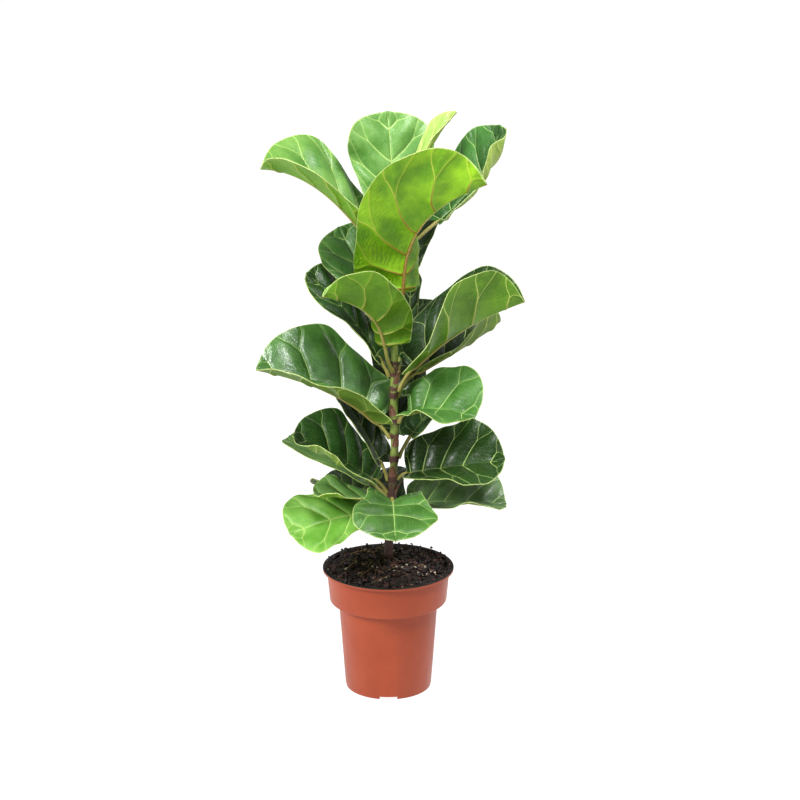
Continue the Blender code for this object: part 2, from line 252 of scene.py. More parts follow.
class Graph:
    """A material's node tree, with short ways to add what every finish here needs."""

    def __init__(self, name):
        self.material = bpy.data.materials.new(name)
        self.material.use_nodes = True
        self.tree = self.material.node_tree
        self.shader = self.tree.nodes["Principled BSDF"]

    def link(self, value, socket):
        """Joins an output to a socket, or writes a plain value into it."""
        if isinstance(value, bpy.types.NodeSocket):
            self.tree.links.new(value, socket)
        elif isinstance(value, tuple) and len(value) == 3 and socket.type == "RGBA":
            socket.default_value = (*value, 1.0)
        else:
            socket.default_value = value

    def node(self, kind, settings=None, **inputs):
        made = self.tree.nodes.new(kind)
        for key, value in (settings or {}).items():
            setattr(made, key, value)
        for key, value in inputs.items():
            self.link(value, made.inputs[key.replace("_", " ")])
        return made

    def sum(self, operation, *values):
        made = self.tree.nodes.new("ShaderNodeMath")
        made.operation = operation
        for socket, value in zip(made.inputs, values):
            self.link(value, socket)
        return made.outputs[0]

    def fade(self, value, start, end, low=0.0, high=1.0):
        """A smooth change from low to high while the value goes from start to end."""
        made = self.tree.nodes.new("ShaderNodeMapRange")
        made.interpolation_type = "SMOOTHSTEP"
        for socket, given in zip(made.inputs, (value, start, end, low, high)):
            self.link(given, socket)
        return made.outputs[0]

    def total(self, *pairs):
        """Several masks added up, each times its weight."""
        parts = [self.sum("MULTIPLY", mask, weight) for mask, weight in pairs]
        added = parts[0]
        for part in parts[1:]:
            added = self.sum("ADD", added, part)
        return added

    def mix(self, mask, first, second):
        made = self.tree.nodes.new("ShaderNodeMix")
        made.data_type = "RGBA"
        self.link(mask, made.inputs[0])
        self.link(first, made.inputs[6])
        self.link(second, made.inputs[7])
        return made.outputs[2]

    def attribute(self, name):
        made = self.tree.nodes.new("ShaderNodeAttribute")
        made.attribute_name = name
        return made.outputs["Fac"]

    def place(self):
        """Object coordinates, which are the same as world coordinates here."""
        return self.tree.nodes.new("ShaderNodeTexCoord").outputs["Object"]

    def drawn_long(self, *scale):
        """Object coordinates scaled along each axis: a pattern runs long where its scale is small."""
        return self.node("ShaderNodeMapping", Vector=self.place(), Scale=scale).outputs[0]

    def height(self):
        """How high a spot is."""
        return self.node("ShaderNodeSeparateXYZ", Vector=self.place()).outputs["Z"]

    def clouds(self, scale, detail=3.0, roughness=0.55, vector=None):
        inputs = {"Scale": scale, "Detail": detail, "Roughness": roughness}
        return self.node("ShaderNodeTexNoise", Vector=vector or self.place(), **inputs).outputs["Fac"]

    def cells(self, scale):
        """How far a spot is from the walls of a net of cells."""
        settings = {"feature": "DISTANCE_TO_EDGE"}
        made = self.node("ShaderNodeTexVoronoi", settings, Vector=self.place(), Scale=scale)
        return made.outputs["Distance"]

    def bump(self, height, distance, strength=1.0):
        made = self.node("ShaderNodeBump", Height=height, Distance=distance, Strength=strength)
        self.tree.links.new(made.outputs["Normal"], self.shader.inputs["Normal"])

    def set(self, **inputs):
        for key, value in inputs.items():
            self.link(value, self.shader.inputs[key.replace("_", " ")])
        return self.material


print("graph helpers ready")


# %% [markdown]
# ## The pot
# A nursery pot is a thin plastic cup that steps out to a wide collar and ends in a flat rolled lip. It could
# be turned from a drawn profile. Here it is drawn out of a circle instead: up the outside, over the lip and
# down the inside to the floor, which also closes it. Bevelled edges then catch the light as moulded ones do.

# %% Pot: the wall
POT_HEIGHT = 0.116
LIP_RADIUS = 0.060
LIP_DEPTH = 0.0024
STEP_HEIGHT = 0.0846
COLLAR_TOP = 0.0562
COLLAR_FOOT = 0.0536
BODY_TOP = 0.0456
BODY_FOOT = 0.0396
WALL = 0.0012
POT_FLOOR = 0.0044
FOOT_ROUND = 0.0016
STEP_ROUND = 0.0006
EDGE_ROUND = 0.0005
POT_SIDES = 128

pot_profile = (
    (BODY_FOOT - FOOT_ROUND, 0.0),
    (BODY_FOOT - 0.0004, 0.0005),
    (BODY_FOOT, 0.0018),
    (BODY_TOP, STEP_HEIGHT),
    (COLLAR_FOOT - STEP_ROUND, STEP_HEIGHT),
    (COLLAR_FOOT, STEP_HEIGHT + STEP_ROUND),
    (COLLAR_TOP, POT_HEIGHT - LIP_DEPTH),
    (LIP_RADIUS, POT_HEIGHT - LIP_DEPTH),
    (LIP_RADIUS, POT_HEIGHT),
    (COLLAR_TOP - WALL, POT_HEIGHT),
    (COLLAR_FOOT - WALL, STEP_HEIGHT + WALL),
    (BODY_TOP - WALL, STEP_HEIGHT + WALL),
    (BODY_FOOT - WALL, POT_FLOOR),
)
pot = draw_out([((0, 0, height), radius) for radius, height in pot_profile], POT_SIDES)
settle(pot)

rounded = pot.modifiers.new("rounded_edges", "BEVEL")
rounded.width = EDGE_ROUND
rounded.segments = 3
rounded.limit_method = "ANGLE"
rounded.angle_limit = math.radians(30)
apply_modifiers(pot)
print("pot wall", len(pot.data.polygons), "faces")

# %% [markdown]
# Water leaves through holes in the base, and four shallow channels let it run out from under the pot. The
# front channel shows as a small notch at the foot. A hole is a cut, so it is a Boolean: at each quarter turn
# a block and a cylinder are placed, and taken away from the pot.

# %% Pot: drain holes and channels
CHANNELS = 4
CHANNEL_SIZE = (0.0246, 0.016, 0.0060)
CHANNEL_MIDDLE = 0.0333
DRAIN_RADIUS = 0.0040
DRAIN_CIRCLE = 0.029

for number in range(CHANNELS):
    turn = math.tau * number / CHANNELS - math.pi / 2
    outward = Vector((math.cos(turn), math.sin(turn), 0))
    nothing_selected()
    bpy.ops.mesh.primitive_cube_add(size=1, location=outward * CHANNEL_MIDDLE, rotation=(0, 0, turn))
    block = bpy.context.object
    block.scale = CHANNEL_SIZE
    bpy.ops.mesh.primitive_cylinder_add(
        vertices=24, radius=DRAIN_RADIUS, depth=POT_FLOOR * 3, location=outward * DRAIN_CIRCLE
    )
    drill = bpy.context.object
    for cutter in (block, drill):
        cut = pot.modifiers.new("cut", "BOOLEAN")
        cut.object = cutter
        cut.operation = "DIFFERENCE"
        apply_modifiers(pot)
        bpy.data.objects.remove(cutter, do_unlink=True)
settle(pot, 30)
print("pot with drains", len(pot.data.polygons), "faces")

# %% [markdown]
# The plastic is satin terracotta outside: one even colour, a faint moulding grain and pale scuffs that run
# down the wall. The inner wall and the top of the lip are nearly black, as on pots pressed from two sheets,
# so those faces get a second material.

# %% Pot: finish


def terracotta():
    graph = Graph("terracotta_plastic")
    patches = graph.clouds(26.0, 4.0)
    grain = graph.clouds(1400.0, 2.0)
    scuffs = graph.clouds(160.0, 5.0, 0.7, graph.drawn_long(1.0, 1.0, 0.12))
    base = graph.mix(graph.fade(patches, 0.35, 0.7), (0.315, 0.050, 0.016), (0.350, 0.060, 0.020))
    worn = graph.mix(graph.fade(scuffs, 0.62, 0.78, 0.0, 0.22), base, (0.50, 0.15, 0.08))
    roughness = graph.fade(scuffs, 0.3, 0.8, 0.34, 0.50)
    graph.bump(graph.sum("ADD", graph.sum("MULTIPLY", grain, 0.25), scuffs), 0.00012, 0.6)
    return graph.set(Base_Color=worn, Roughness=roughness, Specular_IOR_Level=0.28)


def dark_plastic():
    graph = Graph("dark_inner_plastic")
    splashes = graph.clouds(120.0, 5.0, 0.65)
    colour = graph.mix(graph.fade(splashes, 0.45, 0.75), (0.008, 0.006, 0.005), (0.034, 0.020, 0.014))
    graph.bump(splashes, 0.0002, 0.5)
    return graph.set(Base_Color=colour, Roughness=graph.fade(splashes, 0.3, 0.7, 0.38, 0.65))


clothe(pot, terracotta(), dark_plastic())
INNER_EDGE = COLLAR_TOP - WALL + 0.0009
LIP_SKIN = 0.0008
for face in pot.data.polygons:
    across = math.hypot(face.center.x, face.center.y)
    inward = face.normal.x * face.center.x + face.normal.y * face.center.y < -0.02 * across
    inside = inward and across < INNER_EDGE and face.center.z > POT_FLOOR
    on_lip = face.center.z > POT_HEIGHT - LIP_SKIN
    face.material_index = 1 if inside or on_lip else 0
belongs(pot, "nursery_pot", "pot", "pot")

# %% [markdown]
# ## Potting mix
# The mix is dark peat with bark crumbs, white grains of perlite and pale root fibres. A textured disc alone
# would look painted, so there is a rough bed first, and real crumbs lie on it. The bed is a filled circle
# that is extruded up and inset to many rings. Its top is heaped by a formula, and two Displace modifiers
# roughen it.

# %% Soil bed
SOIL_RADIUS = 0.0538
SOIL_LEVEL = 0.1140
SOIL_DEPTH = 0.018
SOIL_HEAP = 0.0092
SOIL_INSETS = 22
SOIL_SIDES = 128
BED_LUMPS = (("heaps", 0.016, 0.0060), ("crumbs", 0.0035, 0.0026))  # name, size of the lumps, strength


def soil_height(across):
    """The middle height of the mix at a distance from the axis: heaped gently round the stem."""
    return SOIL_LEVEL + SOIL_HEAP * (1.0 - (across / SOIL_RADIUS) ** 2)


nothing_selected()
bpy.ops.mesh.primitive_circle_add(
    vertices=SOIL_SIDES, radius=SOIL_RADIUS, location=(0, 0, SOIL_LEVEL - SOIL_DEPTH), fill_type="NGON"
)
bed = bpy.context.object
bpy.ops.object.mode_set(mode="EDIT")
bpy.ops.mesh.select_mode(type="FACE")
bpy.ops.mesh.select_all(action="SELECT")
bpy.ops.mesh.extrude_region_move(TRANSFORM_OT_translate={"value": (0, 0, SOIL_DEPTH)})
for _ in range(SOIL_INSETS):
    bpy.ops.mesh.inset(thickness=SOIL_RADIUS / (SOIL_INSETS + 2), depth=0)
bpy.ops.object.mode_set(mode="OBJECT")
settle(bed, 180)
top = bed.vertex_groups.new(name="top")
for vertex in bed.data.vertices:
    across = math.hypot(vertex.co.x, vertex.co.y)
    if vertex.co.z > SOIL_LEVEL - SOIL_DEPTH / 2:
        vertex.co.z = soil_height(across)
        if across < SOIL_RADIUS * 0.99:
            top.add([vertex.index], 1.0, "REPLACE")
for name, size, strength in BED_LUMPS:
    texture = bpy.data.textures.new(name, "CLOUDS")
    texture.noise_scale = size
    texture.noise_depth = 3
    rough = bed.modifiers.new(name, "DISPLACE")
    rough.texture = texture
    rough.texture_coords = "LOCAL"
    rough.direction = "Z"
    rough.strength = strength
    rough.mid_level = 0.5
    rough.vertex_group = "top"
apply_modifiers(bed)
print("bed", len(bed.data.polygons), "faces")

# %% [markdown]
# The crumbs are modelled once in a few shapes: a cube for flat bark and an icosphere for round grains, each
# roughened by moving its corners. Hundreds of copies are then scattered over the bed, turned at random and
# sunk a little, each copy with its own mesh, and joined into one piece. Every copy carries its own tone.

# %% Crumbs, bark, perlite
STEM_ROOM = 0.006


def crumb(kind, stretch, jitter):
    """A rough grain one unit across: a cube or an icosphere with its corners moved."""
    nothing_selected()
    if kind == "flake":
        bpy.ops.mesh.primitive_cube_add(size=1.0)
        bpy.ops.object.mode_set(mode="EDIT")
        bpy.ops.mesh.select_all(action="SELECT")
        bpy.ops.mesh.subdivide(number_cuts=1)
        bpy.ops.object.mode_set(mode="OBJECT")
    else:
        bpy.ops.mesh.primitive_ico_sphere_add(subdivisions=1, radius=0.5)
    made = bpy.context.object
    for vertex in made.data.vertices:
        shift = Vector([random.uniform(-jitter, jitter) for _ in range(3)])
        vertex.co = Vector([value * size for value, size in zip(vertex.co + shift, stretch)])
    return made


def scatter(shapes, count, sizes, reach, lift, name, finish):
    """Copies of the shapes laid on the bed at random and joined into one piece."""
    copies = []
    for _ in range(count):
        mesh = random.choice(shapes).data.copy()
        across = reach * math.sqrt(random.random())
        around = random.uniform(0, math.tau)
        spot = Vector((across * math.cos(around), across * math.sin(around), 0))
        if math.hypot(spot.x, spot.y) < STEM_ROOM:
            spot *= 2.0
        ground = POT_HEIGHT if across > SOIL_RADIUS else soil_height(across)
        spot.z = ground + random.uniform(*lift)
        size = random.uniform(*sizes)
        turned = Euler([random.uniform(-0.6, 0.6), random.uniform(-0.6, 0.6), random.uniform(0, math.tau)])
        mesh.transform(Matrix.LocRotScale(spot, turned, Vector((size, size, size))))
        made = bpy.data.objects.new(name, mesh)
        scene.collection.objects.link(made)
        carry(made, "tone", [random.random()] * len(mesh.vertices))
        copies.append(made)
    joined = join_up(copies)
    for shape in shapes:
        bpy.data.objects.remove(shape, do_unlink=True)
    settle(joined, 30)
    clothe(joined, finish)
    belongs(joined, name, "soil")


# %% [markdown]
# Peat is almost black and drinks light. Bark is warmer, from near black to red-brown, with a fine grain.
# Perlite is a chalky white volcanic glass with a pitted surface. The finishes of the crumbs take their tone
# from the number that each crumb carries.

# %% Finishes for the mix


def peat():
    graph = Graph("damp_peat")
    lumps = graph.clouds(420.0, 5.0, 0.7)
    colour = graph.mix(graph.fade(lumps, 0.40, 0.72), (0.006, 0.003, 0.003), (0.030, 0.013, 0.010))
    graph.bump(lumps, 0.0006)
    return graph.set(Base_Color=colour, Roughness=graph.fade(lumps, 0.3, 0.7, 0.72, 0.95))


def bark_chip(name, dark, warm, pale):
    graph = Graph(name)
    tone = graph.attribute("tone")
    grain = graph.clouds(900.0, 4.0, 0.6)
    colour = graph.mix(graph.fade(tone, 0.35, 0.95), dark, warm)
    colour = graph.mix(graph.fade(tone, 0.90, 0.99, 0.0, 0.7), colour, pale)
    colour = graph.mix(graph.fade(grain, 0.35, 0.75, 0.0, 0.6), colour, (0.012, 0.007, 0.005))
    graph.bump(grain, 0.0003)
    return graph.set(Base_Color=colour, Roughness=graph.fade(tone, 0.0, 1.0, 0.45, 0.85))


def chalk_grain():
    graph = Graph("perlite_grain")
    tone = graph.attribute("tone")
    pits = graph.cells(1500.0)
    colour = graph.mix(tone, (0.36, 0.30, 0.22), (0.72, 0.66, 0.54))
    colour = graph.mix(graph.fade(pits, 0.0, 0.25, 0.5, 0.0), colour, (0.16, 0.11, 0.07))
    graph.bump(pits, 0.0002)
    return graph.set(Base_Color=colour, Roughness=0.9)


clothe(bed, peat())
belongs(bed, "soil_bed", "soil", "soil")

flakes = [crumb("flake", stretch=(1.0, 0.55, 0.22), jitter=0.16) for _ in range(4)]
scatter(flakes, count=460, sizes=(0.0030, 0.0072), reach=0.0530, lift=(-0.0012, 0.0022), name="bark_chips",
        finish=bark_chip("bark_chip", (0.012, 0.005, 0.005), (0.072, 0.022, 0.017), (0.34, 0.18, 0.11)))
grains = [crumb("grain", stretch=(1.0, 0.8, 0.7), jitter=0.14) for _ in range(4)]
scatter(grains, count=1300, sizes=(0.0012, 0.0034), reach=0.0585, lift=(-0.0008, 0.0024), name="peat_crumbs",
        finish=bark_chip("peat_crumb", (0.006, 0.003, 0.003), (0.040, 0.014, 0.011), (0.22, 0.10, 0.07)))
pearls = [crumb("grain", stretch=(1.0, 0.85, 0.8), jitter=0.10) for _ in range(3)]
scatter(pearls, count=34, sizes=(0.0014, 0.0034), reach=0.0490, lift=(0.0008, 0.0024), name="perlite",
        finish=chalk_grain())

# %% [markdown]
# Root fibres and slivers of straw lie loose on top. A fibre is a thin curve: a Bezier curve is added, bent
# by moving its handles, given a round section by its bevel depth, and then made a mesh.

# %% Fibres
FIBRES = 46
FIBRE_REACH = 0.046
FIBRE_RADII = (0.00014, 0.00034)
FIBRE_HALVES = (0.004, 0.011)
FIBRE_BEND = 0.004
FIBRE_END_REACH = 0.051
FIBRE_LIFTS = (0.0006, 0.0028)
FIBRE_ARCH = 0.0015

strands = []
for _ in range(FIBRES):
    nothing_selected()
    bpy.ops.curve.primitive_bezier_curve_add(radius=1.0)
    strand = bpy.context.object
    strand.data.bevel_depth = random.uniform(*FIBRE_RADII)
    strand.data.bevel_resolution = 1
    strand.data.resolution_u = 8
    strand.data.use_fill_caps = True
    across = FIBRE_REACH * math.sqrt(random.random())
    around = random.uniform(0, math.tau)
    spot = Vector((across * math.cos(around), across * math.sin(around), 0))
    way = Vector((math.cos(random.uniform(0, math.tau)), math.sin(random.uniform(0, math.tau)), 0))
    way.normalize()
    half = random.uniform(*FIBRE_HALVES)
    start, end = strand.data.splines[0].bezier_points
    for point, sign in ((start, -1), (end, 1)):
        point.handle_left_type = point.handle_right_type = "FREE"
        point.co = spot + way * half * sign
        across_point = min(math.hypot(point.co.x, point.co.y), FIBRE_END_REACH)
        point.co.z = soil_height(across_point) + random.uniform(*FIBRE_LIFTS)
        bend = Vector([random.uniform(-FIBRE_BEND, FIBRE_BEND) for _ in range(3)])
        point.handle_left = point.co + way * half * 0.5 * sign + bend * 0.4
        point.handle_right = point.co - way * half * 0.5 * sign + bend * 0.4
    start.handle_right, end.handle_left = start.co.lerp(end.co, 0.35), end.co.lerp(start.co, 0.35)
    start.handle_right.z += FIBRE_ARCH
    only(strand)
    bpy.ops.object.convert(target="MESH")
    strand = bpy.context.object
    carry(strand, "tone", [random.random()] * len(strand.data.vertices))
    strands.append(strand)
fibres = join_up(strands)
settle(fibres, 60)


def straw():
    graph = Graph("root_fibre")
    tone = graph.attribute("tone")
    streaks = graph.clouds(700.0, 3.0)
    colour = graph.mix(tone, (0.16, 0.075, 0.038), (0.50, 0.33, 0.18))
    colour = graph.mix(graph.fade(streaks, 0.4, 0.7, 0.0, 0.5), colour, (0.07, 0.035, 0.02))
    graph.bump(streaks, 0.0001)
    return graph.set(Base_Color=colour, Roughness=0.7)


clothe(fibres, straw())
belongs(fibres, "root_fibres", "soil")

# %% [markdown]
# ## The stem
# The stem is green where it is young, with dark purple-brown joints where leaves sit, and brown bark at its
# foot. It is drawn out of a circle like the pot, through many small steps, because it is a little thicker
# at each joint, at the ring scars that dropped leaves left, and at its foot.

# %% Stem line and joints
STEM_LINE = (
    (0.000, 0.000, 0.088),
    (0.000, 0.000, 0.126),
    (0.003, 0.000, 0.180),
    (0.006, -0.002, 0.228),
    (0.005, 0.000, 0.275),
    (0.006, 0.002, 0.322),
    (0.009, 0.001, 0.368),
    (0.010, 0.000, 0.412),
    (0.011, 0.000, 0.450),
)
STEM_FOOT_RADIUS = 0.0042
STEM_TIP_RADIUS = 0.0024
NODE_SWELL = 0.0004


def stem_middle(height):
    """The stem's middle line at a height."""
    for lower, upper in zip(STEM_LINE, STEM_LINE[1:]):
        if height <= upper[2] or upper is STEM_LINE[-1]:
            share = (height - lower[2]) / (upper[2] - lower[2])
            return Vector(lower).lerp(Vector(upper), share)


def stem_radius(height):
    share = (height - STEM_LINE[0][2]) / (STEM_LINE[-1][2] - STEM_LINE[0][2])
    return STEM_FOOT_RADIUS + (STEM_TIP_RADIUS - STEM_FOOT_RADIUS) * share


# %% [markdown]
# ## The leaves: their measures
# Every leaf is one row of measures: where it leaves the stem and which way, how long its stalk is, how its
# midrib rises, how long and wide the blade is, how it turns, and how each half folds up beside the midrib.
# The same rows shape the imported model, so the fine leaves lie where its plain ones do.

# %% Leaf table


@dataclass
class Leaf:
    """One leaf. Angles in degrees; pairs are the left and right halves, or base and tip where it says so."""

    name: str
    node: float  # height of its joint with the stem
    heading: float
    stalk: float  # length of the leaf stalk
    leave: float  # slope of the stalk where it leaves the stem
    rise: tuple  # slope of the midrib at the base, the middle and the tip
    length: float
    width: float
    turn: float = 0.0  # how far the midrib swings to the left by the tip
    roll: tuple = (0.0, 0.0)  # base and tip: how far the blade's right half is lifted
    fold: tuple = (20.0, 20.0)  # how far each half is lifted beside the midrib, at the base
    fold_tip: tuple = ()  # the same at the tip, where it differs
    curl: tuple = (0.0, 0.0)  # how much more each half is lifted by its margin
    wave: tuple = (0.002, 1.5, 0.0)  # margin waves: height, number along the blade, phase
    belly: float = 1.0  # above 1, the widest part lies nearer to the base
    lean: float = 0.0  # how much wider the right half is than the left, as a share


LEAVES = (
    Leaf("leaf_crown_left", 0.392, 180, 0.030, 60, (52, 38, 0), 0.124, 0.100, fold=(25, 33)),
    Leaf("leaf_crown_back", 0.408, 103, 0.022, 60, (74, 74, 66), 0.104, 0.080, fold=(8, 0)),
    Leaf("leaf_crown_front", 0.345, -76, 0.040, 35, (88, 48, 20), 0.144, 0.112, turn=72,
         fold=(40, 26), fold_tip=(60, 80), curl=(40, 0), belly=1.35, lean=0.14),
    Leaf("leaf_youngest", 0.442, 28, 0.012, 75, (80, 56, 38), 0.092, 0.024, fold=(38, 38)),
    Leaf("leaf_crown_right", 0.408, 31, 0.044, 40, (30, 50, 74), 0.106, 0.082,
         fold=(16, 14), curl=(0, 76)),
    Leaf("leaf_upper_left", 0.334, 142, 0.022, 60, (58, 56, 50), 0.086, 0.067,
         roll=(10, 34), fold=(12, 10)),
    Leaf("leaf_upper_front", 0.303, -114, 0.030, 45, (74, 37, 10), 0.093, 0.065, turn=-52,
         fold=(42, 30), fold_tip=(80, 30), curl=(0, 60), belly=1.9, lean=-0.14),
    Leaf("leaf_upper_left_low", 0.298, 176, 0.018, 65, (60, 50, 36), 0.100, 0.062,
         roll=(8, 20), fold=(10, 18)),
    Leaf("leaf_upper_right_inner", 0.308, 61, 0.040, 15, (88, 86, 80), 0.052, 0.028),
    Leaf("leaf_upper_right", 0.285, -10, 0.022, 70, (48, 33, 21), 0.121, 0.106,
         fold=(64, 12), fold_tip=(34, 92), belly=1.25, lean=0.04),
    Leaf("leaf_upper_right_low", 0.278, 38, 0.028, 64, (15, 17, 26), 0.104, 0.070,
         fold=(34, 36), fold_tip=(36, 75)),
    Leaf("leaf_middle_left", 0.241, 188, 0.015, 60, (46, 25, 14), 0.124, 0.112,
         fold=(20, 64), fold_tip=(20, 42), belly=1.7),
    Leaf("leaf_middle_right", 0.256, -31, 0.012, 68, (25, 5, -16), 0.071, 0.083,
         fold=(57, 6), fold_tip=(42, 4), belly=1.8, lean=-0.07),
    Leaf("leaf_middle_right_back", 0.221, 35, 0.022, 60, (46, 38, 28), 0.078, 0.058),
    Leaf("leaf_lower_left", 0.189, 183, 0.015, 60, (33, 33, 12), 0.085, 0.082,
         fold=(-5, 46), fold_tip=(-5, 34), curl=(60, 0), belly=1.3),
    Leaf("leaf_lower_left_far", 0.182, 146, 0.022, 35, (25, 17, 7), 0.095, 0.060, roll=(5, 15)),
    Leaf("leaf_lower_left_under", 0.176, 196, 0.009, 45, (16, 10, 4), 0.060, 0.054),
    Leaf("leaf_lower_left_inner", 0.200, 151, 0.016, 70, (60, 55, 45), 0.078, 0.054),
    Leaf("leaf_lower_right", 0.202, -8, 0.009, 45, (13, 10, 12), 0.090, 0.088,
         fold=(60, 6), fold_tip=(56, -18), belly=1.35),
    Leaf("leaf_bottom_left", 0.168, 200, 0.018, 20, (-2, -9, -22), 0.075, 0.080,
         roll=(18, 25), fold=(8, 8)),
    Leaf("leaf_bottom_left_back", 0.174, 150, 0.027, 15, (12, 6, -4), 0.048, 0.054),
    Leaf("leaf_bottom_front", 0.182, -88, 0.018, 32, (4, -12, -30), 0.072, 0.080,
         fold=(22, 34), fold_tip=(14, 14)),
    Leaf("leaf_bottom_right", 0.173, 3, 0.015, 25, (5, -3, -6), 0.086, 0.076,
         fold=(46, 12), fold_tip=(34, 12)),
    Leaf("leaf_back_low", 0.164, 103, 0.014, 35, (14, 8, -2), 0.070, 0.064),
    Leaf("leaf_back_low_right", 0.219, 85, 0.024, 50, (46, 36, 15), 0.080, 0.052),
    Leaf("leaf_back_middle", 0.254, 90, 0.026, 60, (50, 40, 25), 0.090, 0.057),
    Leaf("leaf_back_middle_right", 0.280, 72, 0.022, 60, (55, 46, 30), 0.075, 0.060),
    Leaf("leaf_back_upper", 0.366, 74, 0.026, 50, (44, 34, 20), 0.076, 0.046),
)
print(len(LEAVES), "leaves")
JOINTS = sorted(leaf.node for leaf in LEAVES)

# %% Stem
STEM_STEPS = 190
STEM_SIDES = 28
STEM_FOOT = 0.100
SCARS = (0.128, 0.136, 0.147, 0.156, 0.163)
JOINT_SWELL, JOINT_SPREAD = 0.00075, 0.0032
SCAR_SWELL, SCAR_SPREAD = 0.00035, 0.0009
FOOT_SWELL, FOOT_SPREAD, FOOT_HEIGHT = 0.0011, 0.004, 0.122


def joint_share(height):
    """How near a height is to a joint of the stem: 1 at the joint, 0 away from it."""
    return max(math.exp(-(((height - joint) / JOINT_SPREAD) ** 2)) for joint in JOINTS)


def scar_share(height):
    return max(math.exp(-(((height - scar) / SCAR_SPREAD) ** 2)) for scar in SCARS)


stem_rings = []
for step in range(STEM_STEPS + 1):
    height = STEM_FOOT + (STEM_LINE[-1][2] - STEM_FOOT) * step / STEM_STEPS
    radius = stem_radius(height) + JOINT_SWELL * joint_share(height) + SCAR_SWELL * scar_share(height)
    radius += FOOT_SWELL * math.exp(-(((height - FOOT_HEIGHT) / FOOT_SPREAD) ** 2))
    stem_rings.append((stem_middle(height), radius * (1 + 0.05 * noise.noise(Vector((0, 0, height * 260))))))
stem = draw_out(stem_rings, STEM_SIDES)
settle(stem, 60)
for vertex in stem.data.vertices:
    middle = stem_middle(vertex.co.z)
    out = vertex.co - middle
    out.z = 0
    vertex.co += out * 0.10 * noise.noise(vertex.co * 240.0)
carry(stem, "joint", [joint_share(vertex.co.z) for vertex in stem.data.vertices])
print("stem", len(stem.data.polygons), "faces")


def bark():
    graph = Graph("young_bark")
    mottle = graph.clouds(330.0, 4.0, 0.6)
    fissures = graph.clouds(900.0, 4.0, 0.65, graph.drawn_long(1.0, 1.0, 0.10))
    rings = graph.clouds(1.0, 2.0, 0.5, graph.drawn_long(60.0, 60.0, 900.0))
    green = graph.mix(mottle, (0.125, 0.200, 0.030), (0.300, 0.370, 0.075))
    dark = graph.mix(mottle, (0.034, 0.009, 0.010), (0.105, 0.032, 0.024))
    old = graph.mix(fissures, (0.020, 0.007, 0.007), (0.115, 0.045, 0.032))
    near = graph.sum("ADD", graph.attribute("joint"), graph.fade(mottle, 0.35, 0.75, -0.30, 0.30))
    young = graph.mix(graph.fade(near, 0.30, 0.75), green, dark)
    age = graph.sum("ADD", graph.height(), graph.fade(mottle, 0.2, 0.8, -0.012, 0.012))
    colour = graph.mix(graph.fade(age, 0.185, 0.235), old, young)
    graph.bump(graph.total((fissures, 0.7), (rings, 0.5)), 0.0005, 0.8)
    return graph.set(Base_Color=colour, Roughness=graph.fade(mottle, 0.2, 0.8, 0.45, 0.75))


clothe(stem, bark())
belongs(stem, "main_stem", "stem", "stem")

# %% [markdown]
# The growing tip is wrapped in a pointed sheath: a slender spindle, reddish green, that leans a little. It
# is drawn out of a circle as well.

# %% Growing tip
BUD_LENGTH = 0.034
BUD_RADIUS = 0.0030
BUD_LEAN = (0.004, -0.003)
BUD_STEPS = 24
bud_foot = stem_middle(STEM_LINE[-1][2])
bud_rings = []
for step in range(BUD_STEPS + 1):
    share = step / BUD_STEPS
    swell = math.sin(math.pi * min(1.0, 0.30 + 0.70 * share)) ** 0.8
    lean = [sideways * share**2 for sideways in BUD_LEAN]
    middle = bud_foot + Vector((*lean, BUD_LENGTH * share))
    bud_rings.append((middle, max(0.00012, BUD_RADIUS * swell)))
bud = draw_out(bud_rings, 20)
settle(bud, 60)


def sheath():
    graph = Graph("bud_sheath")
    streaks = graph.clouds(1600.0, 3.0, 0.6, graph.drawn_long(1.0, 1.0, 0.06))
    low = graph.mix(streaks, (0.20, 0.26, 0.045), (0.42, 0.46, 0.11))
    colour = graph.mix(graph.fade(graph.height(), 0.455, 0.488), low, (0.30, 0.11, 0.04))
    graph.bump(streaks, 0.0002)
    return graph.set(Base_Color=colour, Roughness=0.42)


clothe(bud, sheath())
belongs(bud, "growing_tip", "bud", "terminal_bud")

# %% [markdown]
# Each young leaf sheds the sheath that wrapped it, and the dry remains stay at the joints as brown husks. A
# husk starts as a small grid: it is narrowed to a point, cupped round the stem and thickened. No two dry
# alike, so each has its own crinkle.

# %% Husks
HUSKS = ((0.150, -70), (0.188, -20), (0.205, -100), (0.234, -75), (0.262, -110), (0.292, -50))
HUSK_LENGTH = 0.0125
HUSK_WIDTH = 0.0064
HUSK_THICKNESS = 0.00022
HUSK_ROWS = 12
HUSK_COLUMNS = 8
STEM_GAP = 0.0006
CUP_DEPTH = 0.0016
TIP_CURL = 0.0042
CRINKLE = 0.0007


